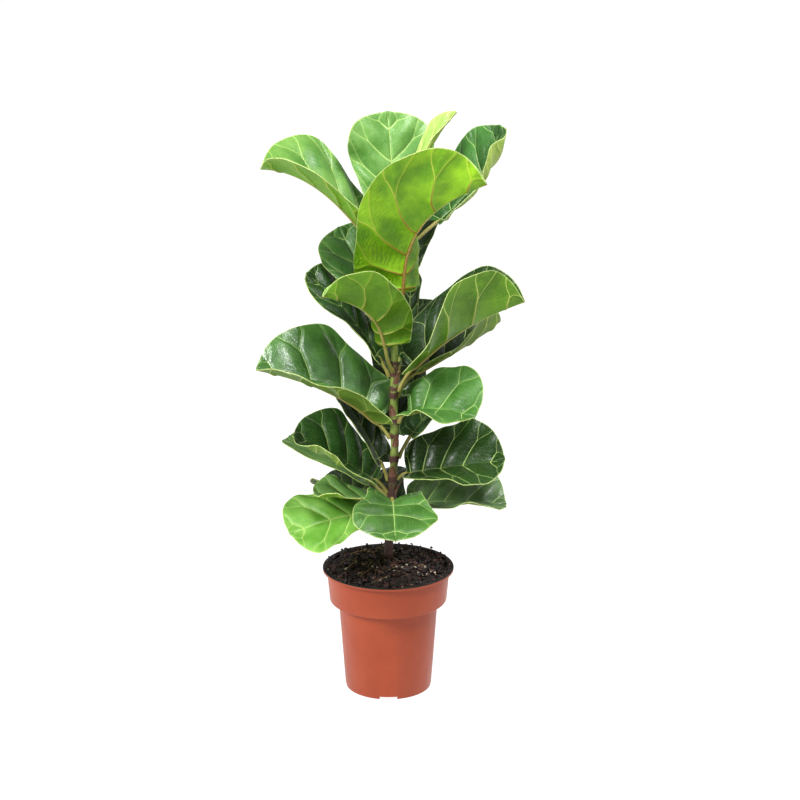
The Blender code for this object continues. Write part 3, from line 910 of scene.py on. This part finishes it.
def husk(number, height, heading):
    """A papery pointed scale that cups the stem and curls away from it at its tip."""
    nothing_selected()
    bpy.ops.mesh.primitive_grid_add(x_subdivisions=HUSK_COLUMNS, y_subdivisions=HUSK_ROWS, size=2)
    made = bpy.context.object
    yaw = math.radians(heading)
    outward = Vector((math.cos(yaw), math.sin(yaw), 0))
    side = Vector((-math.sin(yaw), math.cos(yaw), 0))
    clear = stem_radius(height) + NODE_SWELL + STEM_GAP
    for vertex in made.data.vertices:
        across, share = vertex.co.x, (vertex.co.y + 1) / 2
        wide = HUSK_WIDTH / 2 * (1 - share**2.2) ** 0.75 + 0.0001
        crinkle = noise.noise(Vector((across * 2, share * 5, number * 3.1)))
        middle = stem_middle(height - 0.002 + HUSK_LENGTH * share)
        cup = clear - CUP_DEPTH * across**2 * (1 - share) + TIP_CURL * share**2.2 + CRINKLE * crinkle
        vertex.co = middle + outward * cup + side * across * wide
    made.data.update()
    thick = made.modifiers.new("thick", "SOLIDIFY")
    thick.thickness = HUSK_THICKNESS
    apply_modifiers(made)
    settle(made, 60)
    clothe(made, papery)
    belongs(made, f"husk_{number}", "husk", f"stipule_{number}")


def paper_skin():
    graph = Graph("dry_husk")
    ribs = graph.clouds(1500.0, 3.0, 0.6, graph.drawn_long(1.0, 1.0, 0.12))
    blotches = graph.clouds(420.0, 4.0)
    brown = graph.mix(blotches, (0.090, 0.030, 0.020), (0.260, 0.110, 0.060))
    colour = graph.mix(graph.fade(ribs, 0.55, 0.75, 0.0, 0.75), brown, (0.62, 0.46, 0.30))
    graph.bump(ribs, 0.0003)
    return graph.set(Base_Color=colour, Roughness=0.75)


papery = paper_skin()
for number, (height, heading) in enumerate(HUSKS, start=1):
    husk(number, height, heading)

# %% [markdown]
# ## The leaves: from a flat grid to a blade
# A fiddle leaf is broad near its tip, waisted below, and lobed at the notch where the stalk joins it. The
# side veins fan out from the midrib, and the skin bulges between them like a quilt. Edit-mode operators
# alone can't lay a skin along such a fan, so the grid primitive is only the start: each point's place on the
# flat grid says which vein it lies by and how far out it is, and functions carry it to the bent blade.
#
# First the flat outline, then the midrib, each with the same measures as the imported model.

# %% Leaf outline and midrib
OUTLINE = (
    (0.000, 0.030),
    (-0.050, 0.240),
    (-0.030, 0.480),
    (0.090, 0.640),
    (0.230, 0.690),
    (0.400, 0.760),
    (0.560, 0.900),
    (0.700, 1.000),
    (0.820, 0.950),
    (0.915, 0.740),
    (0.970, 0.440),
    (1.000, 0.035),
)
VEIN_SWEEP = 2.4
VEIN_CURVE = 1.25
STALK_RADIUS = 0.0016
SPINE_STEPS = 96
FIRST_SHARE = 0.03


def outline_at(share, belly):
    """The blade's edge at shares of the way from the notch to the tip, on a smooth curve."""
    points = np.array(OUTLINE)
    place = np.clip(share, 0, 1) * (len(points) - 1)
    index = np.minimum(place.astype(int), len(points) - 2)
    t = (place - index)[:, None]
    before, start, end, after = (points[np.clip(index + step, 0, len(points) - 1)] for step in (-1, 0, 1, 2))
    edge = start + (end - before) * 0.5 * t + (before * 2 - start * 5 + end * 4 - after) * 0.5 * t**2
    edge += (start * 3 - before - end * 3 + after) * 0.5 * t**3
    edge[:, 0] = np.copysign(np.abs(edge[:, 0]) ** belly, edge[:, 0])
    return edge


def axes_of(heading, slope, roll):
    """Along, right and up of a blade at each station, from angles in degrees."""
    yaw, pitch, bank = (np.radians(np.broadcast_to(angle, slope.shape)) for angle in (heading, slope, roll))
    along = np.stack([np.cos(pitch) * np.cos(yaw), np.cos(pitch) * np.sin(yaw), np.sin(pitch)], axis=1)
    side = np.stack([np.sin(yaw), -np.cos(yaw), np.zeros_like(yaw)], axis=1)
    normal = np.cross(side, along)
    cos, sin = np.cos(bank)[:, None], np.sin(bank)[:, None]
    return along, side * cos + normal * sin, normal * cos - side * sin


def run_on(start, along, length):
    """Points that follow the directions from a start, over a length."""
    steps = along[:-1] * (length / SPINE_STEPS)
    return np.vstack([start, start + np.cumsum(steps, axis=0)])


def spine(leaf):
    """Stations of the stalk and of the midrib, each (points, along, right, up)."""
    yaw = math.radians(leaf.heading)
    reach = stem_radius(leaf.node) + NODE_SWELL + STALK_RADIUS * math.sin(math.radians(leaf.leave)) + 0.0003
    start = np.array(stem_middle(leaf.node) + Vector((math.cos(yaw), math.sin(yaw), 0.0)) * reach)
    share = np.linspace(0, 1, SPINE_STEPS + 1)
    axes = axes_of(leaf.heading, leaf.leave + (leaf.rise[0] - leaf.leave) * share, leaf.roll[0] * share)
    stalk = (run_on(start, axes[0], leaf.stalk), *axes)
    base, middle, tip = leaf.rise
    slope = base * (1 - share) * (1 - 2 * share) + middle * 4 * share * (1 - share)
    slope += tip * share * (2 * share - 1)
    roll = leaf.roll[0] + (leaf.roll[1] - leaf.roll[0]) * share
    axes = axes_of(leaf.heading + leaf.turn * share, slope, roll)
    midrib = (run_on(stalk[0][-1], axes[0], leaf.length), *axes)
    return stalk, midrib


# %% [markdown]
# The rows of the grid follow the side veins, closer together beside each vein, where the skin dips, and the
# columns are closer together near the midrib. So the fine detail sits where the shape changes fastest.

# %% Rows and columns
ROW_PLACES = (0.0, 0.11, 0.22, 0.32, 0.40, 0.455, 0.5, 0.545, 0.60, 0.68, 0.78, 0.89)
COLUMNS = 30
COLUMN_POWER = 1.2
VEIN_SPREAD = 0.68
UNEVEN = 0.013


def blade_flat(leaf, veins):
    """Vein number, share across and flat place of every point of the blade's grid, as rows by columns."""
    phases = np.array([number + place for number in range(veins) for place in ROW_PLACES] + [float(veins)])
    share = FIRST_SHARE + (1 - FIRST_SHARE) * (phases / veins) ** VEIN_SPREAD
    edge = outline_at(share, leaf.belly)
    steps = np.arange(-COLUMNS, COLUMNS + 1) / COLUMNS
    across = np.copysign(np.abs(steps) ** COLUMN_POWER, steps)
    root = (share**VEIN_SWEEP)[:, None]
    x = root + (edge[:, :1] - root) * np.abs(across)[None, :] ** VEIN_CURVE
    own = leaf.node * 610.0
    left, right = (
        np.sin(9.0 * share + own + turn) + 0.6 * np.sin(21.0 * share - own + turn) for turn in (0.0, 2.2)
    )
    uneven = np.where(across[None, :] < 0, left[:, None], right[:, None])
    y = edge[:, 1:] * across[None, :] * (1 + UNEVEN * uneven * np.abs(across)[None, :])
    return phases, across, x, y


# %% [markdown]
# Now the bend. Each half of the blade opens out of a trough along the midrib, folds up by its own angle and
# curls towards its margin, and the margin waves. A point's way across is walked in short steps, turning a
# little at each, so that the blade keeps its width however far it folds.

# %% Bending the blade
TROUGH = 0.0022
RUFFLE = 0.0024
BEND_STEPS = 24


def ruffle(leaf, x, y):
    """How far the margin waves up and down, unevenly and by its own pattern on each leaf."""
    own = leaf.node * 970.0 + leaf.heading
    side = np.where(y > 0, 1.9, 0.0)
    waves = np.sin(6.1 * x + own + side) + 0.6 * np.sin(13.1 * x + 2.3 * own + 2 * side)
    waves += 0.30 * np.sin(25.0 * x + 4.1 * own - side)
    return RUFFLE * min(1.0, leaf.width / 0.08) * waves * np.abs(y) ** 2.2


def blade_bent(leaf, midrib, x, y):
    """Where flat points go on the bent blade."""
    right = y > 0
    half = leaf.width / 2 * (1 + leaf.lean * np.where(right, 1, -1))
    base = np.where(right, leaf.fold[1], leaf.fold[0])
    tip = leaf.fold_tip or leaf.fold
    opening = np.where(right, tip[1], tip[0]) - base
    fold = np.radians(base + opening * x * np.abs(x))
    curl = np.radians(np.where(right, leaf.curl[1], leaf.curl[0]))
    inside = np.clip(x, 0, 1)
    place = inside * SPINE_STEPS
    index = np.minimum(place.astype(int), SPINE_STEPS - 1)
    mix = (place - index)[..., None]
    point, along, side, normal = (part[index] * (1 - mix) + part[index + 1] * mix for part in midrib)
    point = point + along * ((x - inside) * leaf.length)[..., None]
    out, lift = np.zeros_like(x), np.zeros_like(x)
    for step in range(BEND_STEPS):
        reach = (step + 0.5) / BEND_STEPS * np.abs(y)
        opened = 1 - np.exp(-reach * half / TROUGH)
        angle = fold * opened + curl * reach**2
        out += np.cos(angle) * np.abs(y) * half / BEND_STEPS
        lift += np.sin(angle) * np.abs(y) * half / BEND_STEPS
    height, number, phase = leaf.wave
    swing = np.sin(math.tau * (number * x + phase + 0.37 * right))
    lift += height * swing * y**2 + ruffle(leaf, x, y)
    return point + side * np.copysign(out, y)[..., None] + normal * lift[..., None]


# %% [markdown]
# The bent blade is still smooth. The next step adds what makes it a leaf: a soft roll of the whole skin,
# quilted bulges between the side veins, fine cross ripples, and sunken lines along the veins. Every point
# moves along the skin's own direction, found from its neighbours.

# %% Quilting the skin
BULGE = 0.0019
FULL_PITCH = 0.014  # side veins this far apart or more leave room for the whole bulge
RIPPLE = 0.00010
RIPPLE_LENGTH = 0.0046
GROOVE, GROOVE_REACH = 0.00055, 0.0007
MIDRIB_GROOVE, MIDRIB_GROOVE_REACH = 0.00050, 0.0010
ROLL, ROLL_SCALE = 0.0026, 30.0


def skin_normals(points):
    """The direction that the skin faces at every point of the grid."""
    along = np.gradient(points, axis=0)
    across = np.gradient(points, axis=1)
    normal = np.cross(across, along)
    return normal / np.maximum(np.linalg.norm(normal, axis=2, keepdims=True), 1e-9)


def vein_pitch(points, phases):
    """Metres between one side vein and the next, measured square to the veins, at every point."""
    step = np.gradient(points, phases, axis=0)
    across = np.gradient(points, axis=1)
    across /= np.maximum(np.linalg.norm(across, axis=2, keepdims=True), 1e-9)
    step -= across * (step * across).sum(axis=2, keepdims=True)
    return np.linalg.norm(step, axis=2)


def quilted(points, phases, across, seed, look):
    """The crinkled blade, and at each point its direction, vein spacing, reach and half width."""
    normal = skin_normals(points)
    pitch = vein_pitch(points, phases)
    run = np.linalg.norm(np.diff(points, axis=1), axis=2)
    reach = np.concatenate([np.zeros((len(phases), 1)), np.cumsum(run, axis=1)], axis=1)
    reach = np.abs(reach - reach[:, COLUMNS : COLUMNS + 1])
    half = np.where(across[None, :] < 0, reach[:, :1], reach[:, -1:])
    out = np.abs(across)[None, :]
    beside = np.abs(phases % 1.0 - 0.5)[:, None] * 2
    room = np.minimum(pitch / FULL_PITCH, 1.3)
    body = np.clip(4 * out * (1.05 - out), 0, 1)
    lift = BULGE * look.crinkle * room * body * (np.sin(math.pi / 2 * beside) ** 1.4 - 0.35)
    ladder = np.sin(math.tau * (reach / RIPPLE_LENGTH + 0.22 * beside + seed))
    lift += RIPPLE * look.pleat * ladder * body * beside * np.clip(room, 0.3, 1)
    away = np.abs(phases % 1.0 - 0.5)[:, None] * pitch
    lift -= GROOVE * np.exp(-((away / GROOVE_REACH) ** 2)) * (1 - 0.7 * out) * np.clip(reach / 0.003, 0, 1)
    lift -= MIDRIB_GROOVE * np.exp(-((reach / MIDRIB_GROOVE_REACH) ** 2))
    rows, columns = reach.shape
    for row in range(rows):
        for column in range(columns):
            spot = Vector(points[row, column]) * ROLL_SCALE + Vector((seed * 9.0, 0, 0))
            lift[row, column] += ROLL * look.crinkle * noise.noise(spot) * out[0, column] ** 0.5
    return points + normal * lift[..., None], normal, pitch, reach, np.broadcast_to(half, reach.shape)


# %% [markdown]
# Then the sheet gets its thickness. Solidify copies the skin downwards and gives the copy the underside's
# finish and the rim its own. Below, the veins stand out as ridges, so the lower points beside a vein are
# pushed out. The stalk is a curve made into a tube: it runs on under the blade as the midrib and thins out
# towards the tip.

# %% Building one leaf
LEAF_THICKNESS = 0.00062
RIDGE, RIDGE_REACH = 0.00042, 0.0006
STALK_POINTS = 14
STALK_ROOT = 0.0024
RIB_POINTS = 30
STALK_FOOT_SWELL, STALK_FOOT_SPREAD = 0.38, 0.14
STALK_TOP_SWELL = 0.12
RIB_END = 0.985
RIB_TIP = 0.10
RIB_TAPER = 1.3
RIB_SINK = 0.0006


def side_veins(leaf):
    """How many side veins a blade of this size has on each half."""
    return 4 if leaf.length < 0.082 else 5 if leaf.length < 0.135 else 6


def blade(leaf, midrib, seed, look, finishes):
    """The blade as a thin closed skin, with the numbers that its finishes follow."""
    veins = side_veins(leaf)
    phases, across, x, y = blade_flat(leaf, veins)
    points = blade_bent(leaf, midrib, x, y)
    points, normal, pitch, reach, half = quilted(points, phases, across, seed, look)
    rows, columns = x.shape
    nothing_selected()
    bpy.ops.mesh.primitive_grid_add(x_subdivisions=columns - 1, y_subdivisions=rows - 1, size=2)
    made = bpy.context.object
    mesh = made.data
    flat = np.empty(len(mesh.vertices) * 3, np.float32)
    mesh.vertices.foreach_get("co", flat)
    flat = flat.reshape(-1, 3)
    column = np.rint((flat[:, 0] + 1) / 2 * (columns - 1)).astype(int)
    row = np.rint((flat[:, 1] + 1) / 2 * (rows - 1)).astype(int)
    mesh.vertices.foreach_set("co", points[row, column].astype(np.float32).ravel())
    corners = np.empty(len(mesh.loops), np.int32)
    mesh.loops.foreach_get("vertex_index", corners)
    chart = np.stack([phases[row], across[column]], axis=1)[corners].astype(np.float32)
    mesh.uv_layers[0].name = "leaf"
    mesh.uv_layers["leaf"].data.foreach_set("uv", chart.ravel())
    ahead = np.broadcast_to((phases / veins)[:, None], x.shape)
    measures = {"pitch": pitch, "reach": reach, "margin": half - reach}
    measures = {name: metres * 1000 for name, metres in measures.items()} | {"ahead": ahead}
    for name, values in measures.items():
        carry(made, name, values[row, column].astype(np.float32))
    clothe(made, *finishes)
    mesh.update()
    thick = made.modifiers.new("thick", "SOLIDIFY")
    thick.thickness = LEAF_THICKNESS
    thick.offset = -1
    thick.material_offset = 1
    thick.material_offset_rim = 2
    apply_modifiers(made)
    count = rows * columns
    place = np.empty(len(mesh.vertices) * 3, np.float32)
    mesh.vertices.foreach_get("co", place)
    place = place.reshape(-1, 3)
    away = (np.abs(phases % 1.0 - 0.5)[:, None] * pitch)[row, column]
    out = np.abs(across)[column]
    ridge = RIDGE * np.exp(-((away / RIDGE_REACH) ** 2)) * (1 - 0.75 * out) * (out > 0.02)
    place[count : 2 * count] -= (normal[row, column] * ridge[:, None]).astype(np.float32)
    mesh.vertices.foreach_set("co", place.ravel())
    mesh.update()
    return made


def stalk_tube(leaf, stalk, midrib, finish):
    """The stalk, from inside the stem to the blade, and the midrib under the blade, as one tapering tube."""
    line = [Vector(stalk[0][0]) + Vector(stalk[1][0]) * -STALK_ROOT]
    widths = [STALK_RADIUS * 1.30]
    for number in range(STALK_POINTS):
        share = number / STALK_POINTS
        index = round(share * SPINE_STEPS)
        line.append(Vector(stalk[0][index]))
        foot = STALK_FOOT_SWELL * math.exp(-((share / STALK_FOOT_SPREAD) ** 2))
        widths.append(STALK_RADIUS * (1.0 + foot + STALK_TOP_SWELL * share**3))
    for number in range(RIB_POINTS + 1):
        share = RIB_END * number / RIB_POINTS
        index = round(share * SPINE_STEPS)
        width = STALK_RADIUS * (RIB_TIP + 0.85 * (1 - share) ** RIB_TAPER)
        sink = (width + RIB_SINK) * min(1.0, share / 0.05 + 0.25)
        line.append(Vector(midrib[0][index]) - Vector(midrib[3][index]) * sink)
        widths.append(width)
    nothing_selected()
    bpy.ops.curve.primitive_bezier_curve_add()
    tube = bpy.context.object
    curve = tube.data
    curve.splines.clear()
    spline = curve.splines.new("POLY")
    spline.points.add(len(line) - 1)
    for point, spot, width in zip(spline.points, line, widths):
        point.co = (*spot, 1.0)
        point.radius = width
    curve.bevel_depth = 1.0
    curve.bevel_resolution = 2
    curve.use_fill_caps = True
    only(tube)
    bpy.ops.object.convert(target="MESH")
    tube = bpy.context.object
    clothe(tube, finish)
    top = Vector(midrib[0][0])
    carry(tube, "ahead", [min(1.0, (vertex.co - top).length / leaf.length) for vertex in tube.data.vertices])
    return tube


def build_leaf(leaf, number):
    """One whole leaf with its stalk; its number makes its crinkles its own."""
    look = LOOKS[leaf.name]
    stalk, midrib = spine(leaf)
    finishes = [upper_skin(leaf.name, look), lower_skin(leaf.name, look), margin_skin(leaf.name, look)]
    made = blade(leaf, midrib, number * 0.37, look, finishes)
    tube = stalk_tube(leaf, stalk, midrib, stalk_skin(leaf.name, look))
    made = join_up([made, tube])
    only(made)
    bpy.ops.object.shade_smooth_by_angle(angle=math.radians(70))
    belongs(made, leaf.name.replace("leaf_", "blade_"), look.slot, leaf.name)


# %% [markdown]
# ## The leaves: their finishes
# A leaf's upper skin is waxy and its underside is paler and dull, and the youngest leaves are the most
# yellow. The veins are drawn by the finish, because they must be crisp: it knows how far every spot lies
# from the midrib, from the next side vein and from the margin. Side veins fork near the margin. A ladder of
# fine veins and then a net of still finer ones fill the gaps.

# %% Vein masks
FORK_START = 0.58
FORK_WIDTH = 0.30
LADDER_STEP = 4.6
NET_SCALE = 520.0


def vein_masks(graph, root_width, tip_width):
    """Masks over a blade: strong veins, halo, fine veins, margin, share across, valleys and ripples."""
    chart = graph.node("ShaderNodeUVMap", {"uv_map": "leaf"}).outputs[0]
    chart = graph.node("ShaderNodeSeparateXYZ", Vector=chart).outputs
    across = graph.sum("ABSOLUTE", chart["Y"])
    pitch, reach, margin = (graph.attribute(name) for name in ("pitch", "reach", "margin"))
    wander = graph.sum("SUBTRACT", graph.clouds(70.0, 3.0), 0.5)
    phase = graph.sum("ADD", chart["X"], graph.sum("MULTIPLY", wander, 0.09))
    beside = graph.sum("ABSOLUTE", graph.sum("SUBTRACT", graph.sum("FRACT", phase), 0.5))
    fork = graph.fade(across, FORK_START, 1.0, 0.0, FORK_WIDTH)
    beside = graph.sum("ABSOLUTE", graph.sum("SUBTRACT", beside, fork))
    side = graph.sum("MULTIPLY", beside, pitch)
    width = graph.fade(across, 0.0, 0.85, root_width, tip_width)
    strong = graph.fade(side, graph.sum("MULTIPLY", width, 0.35), width, 1.0, 0.0)
    valley = graph.fade(graph.sum("MINIMUM", side, reach), 0.0, 3.4)
    ahead = graph.attribute("ahead")
    rib_width = graph.fade(ahead, 0.0, 1.0, root_width * 1.5, tip_width)
    rib = graph.fade(reach, graph.sum("MULTIPLY", rib_width, 0.5), rib_width, 1.0, 0.0)
    strong = graph.sum("MAXIMUM", strong, rib)
    halo = graph.fade(graph.sum("MINIMUM", side, reach), 0.2, 3.2, 1.0, 0.0)
    cell = graph.sum("FLOOR", graph.sum("ADD", chart["X"], 0.5))
    rung = graph.sum("ADD", graph.sum("DIVIDE", reach, LADDER_STEP), graph.sum("MULTIPLY", cell, 0.37))
    rung = graph.sum("ADD", rung, graph.sum("MULTIPLY", wander, 3.4))
    rung = graph.sum("ABSOLUTE", graph.sum("SUBTRACT", graph.sum("FRACT", rung), 0.5))
    ladder = graph.fade(graph.sum("MULTIPLY", rung, LADDER_STEP), 0.08, 0.45, 0.45, 0.0)
    net = graph.fade(graph.cells(NET_SCALE), 0.02, 0.12, 0.40, 0.0)
    fine = graph.sum("MAXIMUM", ladder, net)
    edge = graph.fade(margin, 0.35, 1.0, 1.0, 0.0)
    low = graph.fade(ahead, 0.10, 0.65, 1.0, 0.15)
    low = graph.sum("MULTIPLY", low, graph.fade(beside, 0.0, 0.3))
    ripple = graph.sum("MULTIPLY", graph.fade(rung, 0.0, 0.5), low)
    return strong, halo, fine, edge, across, valley, ripple


# %% [markdown]
# Each leaf has its own tones. They are grouped by age: the crown is yellow-green and matt below, the middle
# leaves are deep green, and a few of the lowest have turned pale. The leaves at the back and deep inside are
# darker still: that is painted shade, colour that stands for the shadow of the leaves around them.

# %% Tones of every leaf


@dataclass
class Look:
    """How one leaf looks: colours are linear red, green and blue."""

    deep: tuple  # upper skin, where it is darkest
    fresh: tuple  # upper skin, where it is brightest
    below: tuple  # underside
    below_fresh: tuple
    vein: tuple = (0.47, 0.60, 0.20)  # on the upper skin
    vein_below: tuple = (0.42, 0.50, 0.12)
    vein_root: tuple = (0.30, 0.29, 0.06)  # on the underside near the midrib
    roughness: float = 0.36
    gloss: float = 0.34  # specular level of the upper skin
    crinkle: float = 1.0  # how strongly the skin bulges between its veins
    pleat: float = 1.0  # how strongly it ripples across them
    slot: str = "leaf_mature"


DARK = Look((0.004, 0.025, 0.002), (0.014, 0.064, 0.008), (0.060, 0.135, 0.009), (0.120, 0.230, 0.018))
# Painted shade: a darker copy of DARK for the leaves at the back and deep inside, standing for their shadow.
PAINTED_SHADE = replace(DARK, deep=(0.003, 0.018, 0.002), fresh=(0.011, 0.050, 0.006), below=(0.028, 0.072, 0.005),
                 below_fresh=(0.062, 0.130, 0.011), vein=(0.28, 0.38, 0.11), vein_below=(0.22, 0.29, 0.06))
MIDDLE = Look((0.012, 0.070, 0.007), (0.045, 0.165, 0.020), (0.065, 0.145, 0.010), (0.130, 0.240, 0.020))
GREY = Look((0.024, 0.082, 0.020), (0.065, 0.165, 0.045), (0.085, 0.150, 0.032), (0.150, 0.220, 0.060))
BRIGHT = Look((0.050, 0.220, 0.008), (0.170, 0.420, 0.040), (0.120, 0.260, 0.015), (0.190, 0.350, 0.030),
              vein=(0.50, 0.64, 0.18))
YOUNG = Look((0.060, 0.230, 0.020), (0.200, 0.430, 0.070), (0.095, 0.260, 0.002), (0.200, 0.430, 0.005),
             vein=(0.54, 0.68, 0.22), vein_below=(0.42, 0.46, 0.06), roughness=0.42, slot="leaf_young")


LOOKS = {
    "leaf_crown_left": replace(YOUNG, deep=(0.050, 0.180, 0.018), fresh=(0.170, 0.350, 0.060),
                               below=(0.090, 0.260, 0.002), below_fresh=(0.160, 0.370, 0.004)),
    "leaf_crown_back": replace(YOUNG, deep=(0.060, 0.200, 0.024), fresh=(0.170, 0.360, 0.080)),
    "leaf_crown_front": replace(YOUNG, below=(0.072, 0.220, 0.001), below_fresh=(0.250, 0.500, 0.006),
                                vein_root=(0.26, 0.11, 0.015), crinkle=1.5, pleat=1.9),
    "leaf_youngest": replace(YOUNG, deep=(0.190, 0.340, 0.045), fresh=(0.360, 0.500, 0.110),
                             below=(0.200, 0.350, 0.040), below_fresh=(0.340, 0.490, 0.100), roughness=0.5),
    "leaf_crown_right": replace(DARK, deep=(0.010, 0.070, 0.006), fresh=(0.040, 0.170, 0.020),
                                below=(0.200, 0.320, 0.040), below_fresh=(0.330, 0.440, 0.090),
                                vein=(0.48, 0.60, 0.24), crinkle=1.3, slot="leaf_young"),
    "leaf_upper_left": replace(GREY, deep=(0.034, 0.130, 0.020), fresh=(0.090, 0.230, 0.048), gloss=0.60),
    "leaf_upper_front": replace(YOUNG, below=(0.052, 0.145, 0.001), below_fresh=(0.110, 0.270, 0.004),
                                vein_below=(0.28, 0.34, 0.04), pleat=1.3, slot="leaf_mature"),
    # Painted shade: this leaf's upper skin is darker than DARK, for the shadow that the leaves above cast on
    # it.
    "leaf_upper_left_low": replace(DARK, deep=(0.005, 0.036, 0.003), fresh=(0.020, 0.095, 0.010)),
    "leaf_upper_right_inner": PAINTED_SHADE,
    "leaf_upper_right": replace(DARK, below=(0.042, 0.125, 0.001), below_fresh=(0.110, 0.260, 0.006)),
    "leaf_upper_right_low": replace(DARK, below=(0.060, 0.130, 0.010), below_fresh=(0.110, 0.195, 0.024)),
    "leaf_middle_left": replace(MIDDLE, deep=(0.016, 0.085, 0.009), fresh=(0.070, 0.220, 0.030),
                                roughness=0.30, gloss=0.90, crinkle=1.4),
    "leaf_middle_right": replace(MIDDLE, deep=(0.024, 0.105, 0.010), fresh=(0.072, 0.215, 0.034)),
    "leaf_middle_right_back": GREY,
    "leaf_lower_left": replace(DARK, deep=(0.006, 0.038, 0.004), fresh=(0.020, 0.090, 0.012), roughness=0.28,
                               below=(0.110, 0.205, 0.020), below_fresh=(0.180, 0.290, 0.040)),
    "leaf_lower_left_far": replace(BRIGHT, deep=(0.080, 0.210, 0.040), fresh=(0.190, 0.350, 0.100)),
    "leaf_lower_left_under": replace(BRIGHT, deep=(0.070, 0.190, 0.035), fresh=(0.150, 0.310, 0.080)),
    "leaf_lower_left_inner": PAINTED_SHADE,
    "leaf_lower_right": replace(DARK, fresh=(0.012, 0.058, 0.006), roughness=0.30, gloss=0.26),
    "leaf_bottom_left": replace(BRIGHT, deep=(0.080, 0.270, 0.016), fresh=(0.225, 0.460, 0.085)),
    "leaf_bottom_left_back": PAINTED_SHADE,
    "leaf_bottom_front": replace(MIDDLE, deep=(0.022, 0.090, 0.008), fresh=(0.085, 0.235, 0.040)),
    "leaf_bottom_right": replace(GREY, deep=(0.060, 0.135, 0.040), fresh=(0.130, 0.235, 0.090), gloss=0.60),
    # The back leaves wear the painted shade: their darker colours stand for the shadow of the leaves in
    # front.
    "leaf_back_low": PAINTED_SHADE,
    "leaf_back_low_right": PAINTED_SHADE,
    "leaf_back_middle": PAINTED_SHADE,
    "leaf_back_middle_right": PAINTED_SHADE,
    "leaf_back_upper": PAINTED_SHADE,
}

# %% [markdown]
# Three finishes clothe a blade: the waxy upper skin, the dull underside and the pale rim. The stalk's finish
# is green with a flush of brown.

# %% Upper skin, underside, rim and stalk
VEIN_WIDTH = (0.62, 0.28)
VEIN_WIDTH_BELOW = (1.00, 0.48)


def upper_skin(name, look):
    graph = Graph(name + "_upper")
    strong, halo, fine, edge, across, valley, ripple = vein_masks(graph, *VEIN_WIDTH)
    patches = graph.clouds(42.0, 4.0, 0.55)
    freckles = graph.clouds(900.0, 2.0)
    tone = graph.sum("ADD", graph.fade(patches, 0.30, 0.72, 0.0, 0.75), graph.sum("MULTIPLY", halo, 0.30))
    colour = graph.mix(tone, look.deep, look.fresh)
    colour = graph.mix(graph.fade(across, 0.72, 1.0, 0.0, 0.35), colour, look.fresh)
    colour = graph.mix(graph.fade(freckles, 0.45, 0.75, 0.0, 0.25), colour, look.fresh)
    colour = graph.mix(graph.sum("MULTIPLY", fine, 0.16), colour, look.vein)
    colour = graph.mix(graph.sum("MULTIPLY", strong, 0.72), colour, look.vein)
    colour = graph.mix(graph.sum("MULTIPLY", edge, 0.60), colour, look.vein)
    folds = (ripple, 0.10 * look.pleat), (valley, 0.42 * look.crinkle)
    relief = graph.total((freckles, 0.03), (fine, -0.08), (patches, 2.2), *folds)
    graph.bump(relief, 0.0013, 0.8)
    roughness = graph.fade(patches, 0.25, 0.75, look.roughness, look.roughness + 0.10)
    return graph.set(Base_Color=colour, Roughness=roughness, Specular_IOR_Level=look.gloss, Coat_Weight=0.16,
                     Coat_Roughness=0.16)


def lower_skin(name, look):
    graph = Graph(name + "_underside")
    strong, halo, fine, edge, across, valley, ripple = vein_masks(graph, *VEIN_WIDTH_BELOW)
    patches = graph.clouds(38.0, 4.0, 0.55)
    fuzz = graph.clouds(1100.0, 2.0)
    tone = graph.sum("ADD", graph.fade(patches, 0.32, 0.70, 0.0, 0.80), graph.sum("MULTIPLY", halo, 0.15))
    colour = graph.mix(tone, look.below, look.below_fresh)
    colour = graph.mix(graph.fade(fuzz, 0.45, 0.75, 0.0, 0.20), colour, look.below_fresh)
    colour = graph.mix(graph.sum("MULTIPLY", fine, 0.22), colour, look.vein_below)
    veins = graph.mix(graph.fade(across, 0.15, 0.85), look.vein_root, look.vein_below)
    colour = graph.mix(graph.sum("MULTIPLY", strong, 0.85), colour, veins)
    colour = graph.mix(graph.sum("MULTIPLY", edge, 0.50), colour, look.vein)
    folds = (ripple, 0.26 * look.pleat), (valley, -0.50 * look.crinkle)
    relief = graph.total((fuzz, 0.04), (fine, 0.10), (patches, 2.6), *folds)
    graph.bump(relief, 0.0013, 0.8)
    return graph.set(Base_Color=colour, Roughness=0.52, Specular_IOR_Level=0.28)


def margin_skin(name, look):
    graph = Graph(name + "_rim")
    nicks = graph.clouds(420.0, 3.0)
    colour = graph.mix(graph.fade(nicks, 0.35, 0.75), look.vein, (0.30, 0.32, 0.08))
    graph.bump(nicks, 0.0002)
    return graph.set(Base_Color=colour, Roughness=0.5)


def stalk_skin(name, look):
    graph = Graph(name + "_stalk")
    ahead = graph.attribute("ahead")
    streaks = graph.clouds(380.0, 4.0, 0.6)
    pale = graph.mix(graph.fade(streaks, 0.35, 0.70), (0.300, 0.380, 0.085), (0.430, 0.470, 0.150))
    brown = graph.mix(graph.fade(streaks, 0.35, 0.70), look.vein_root, (0.300, 0.230, 0.060))
    colour = graph.mix(graph.fade(ahead, 0.25, 0.80), brown, pale)
    graph.bump(streaks, 0.0003, 0.8)
    return graph.set(Base_Color=colour, Roughness=0.5)


# %% [markdown]
# Now every leaf is built from its row, one after another, from the crown to the foot.

# %% Build the leaves
for number, leaf in enumerate(LEAVES):
    build_leaf(leaf, number)
blades = [thing for thing in scene.objects if thing.name.startswith("blade_")]
print(sum(len(thing.data.polygons) for thing in blades), "leaf faces")
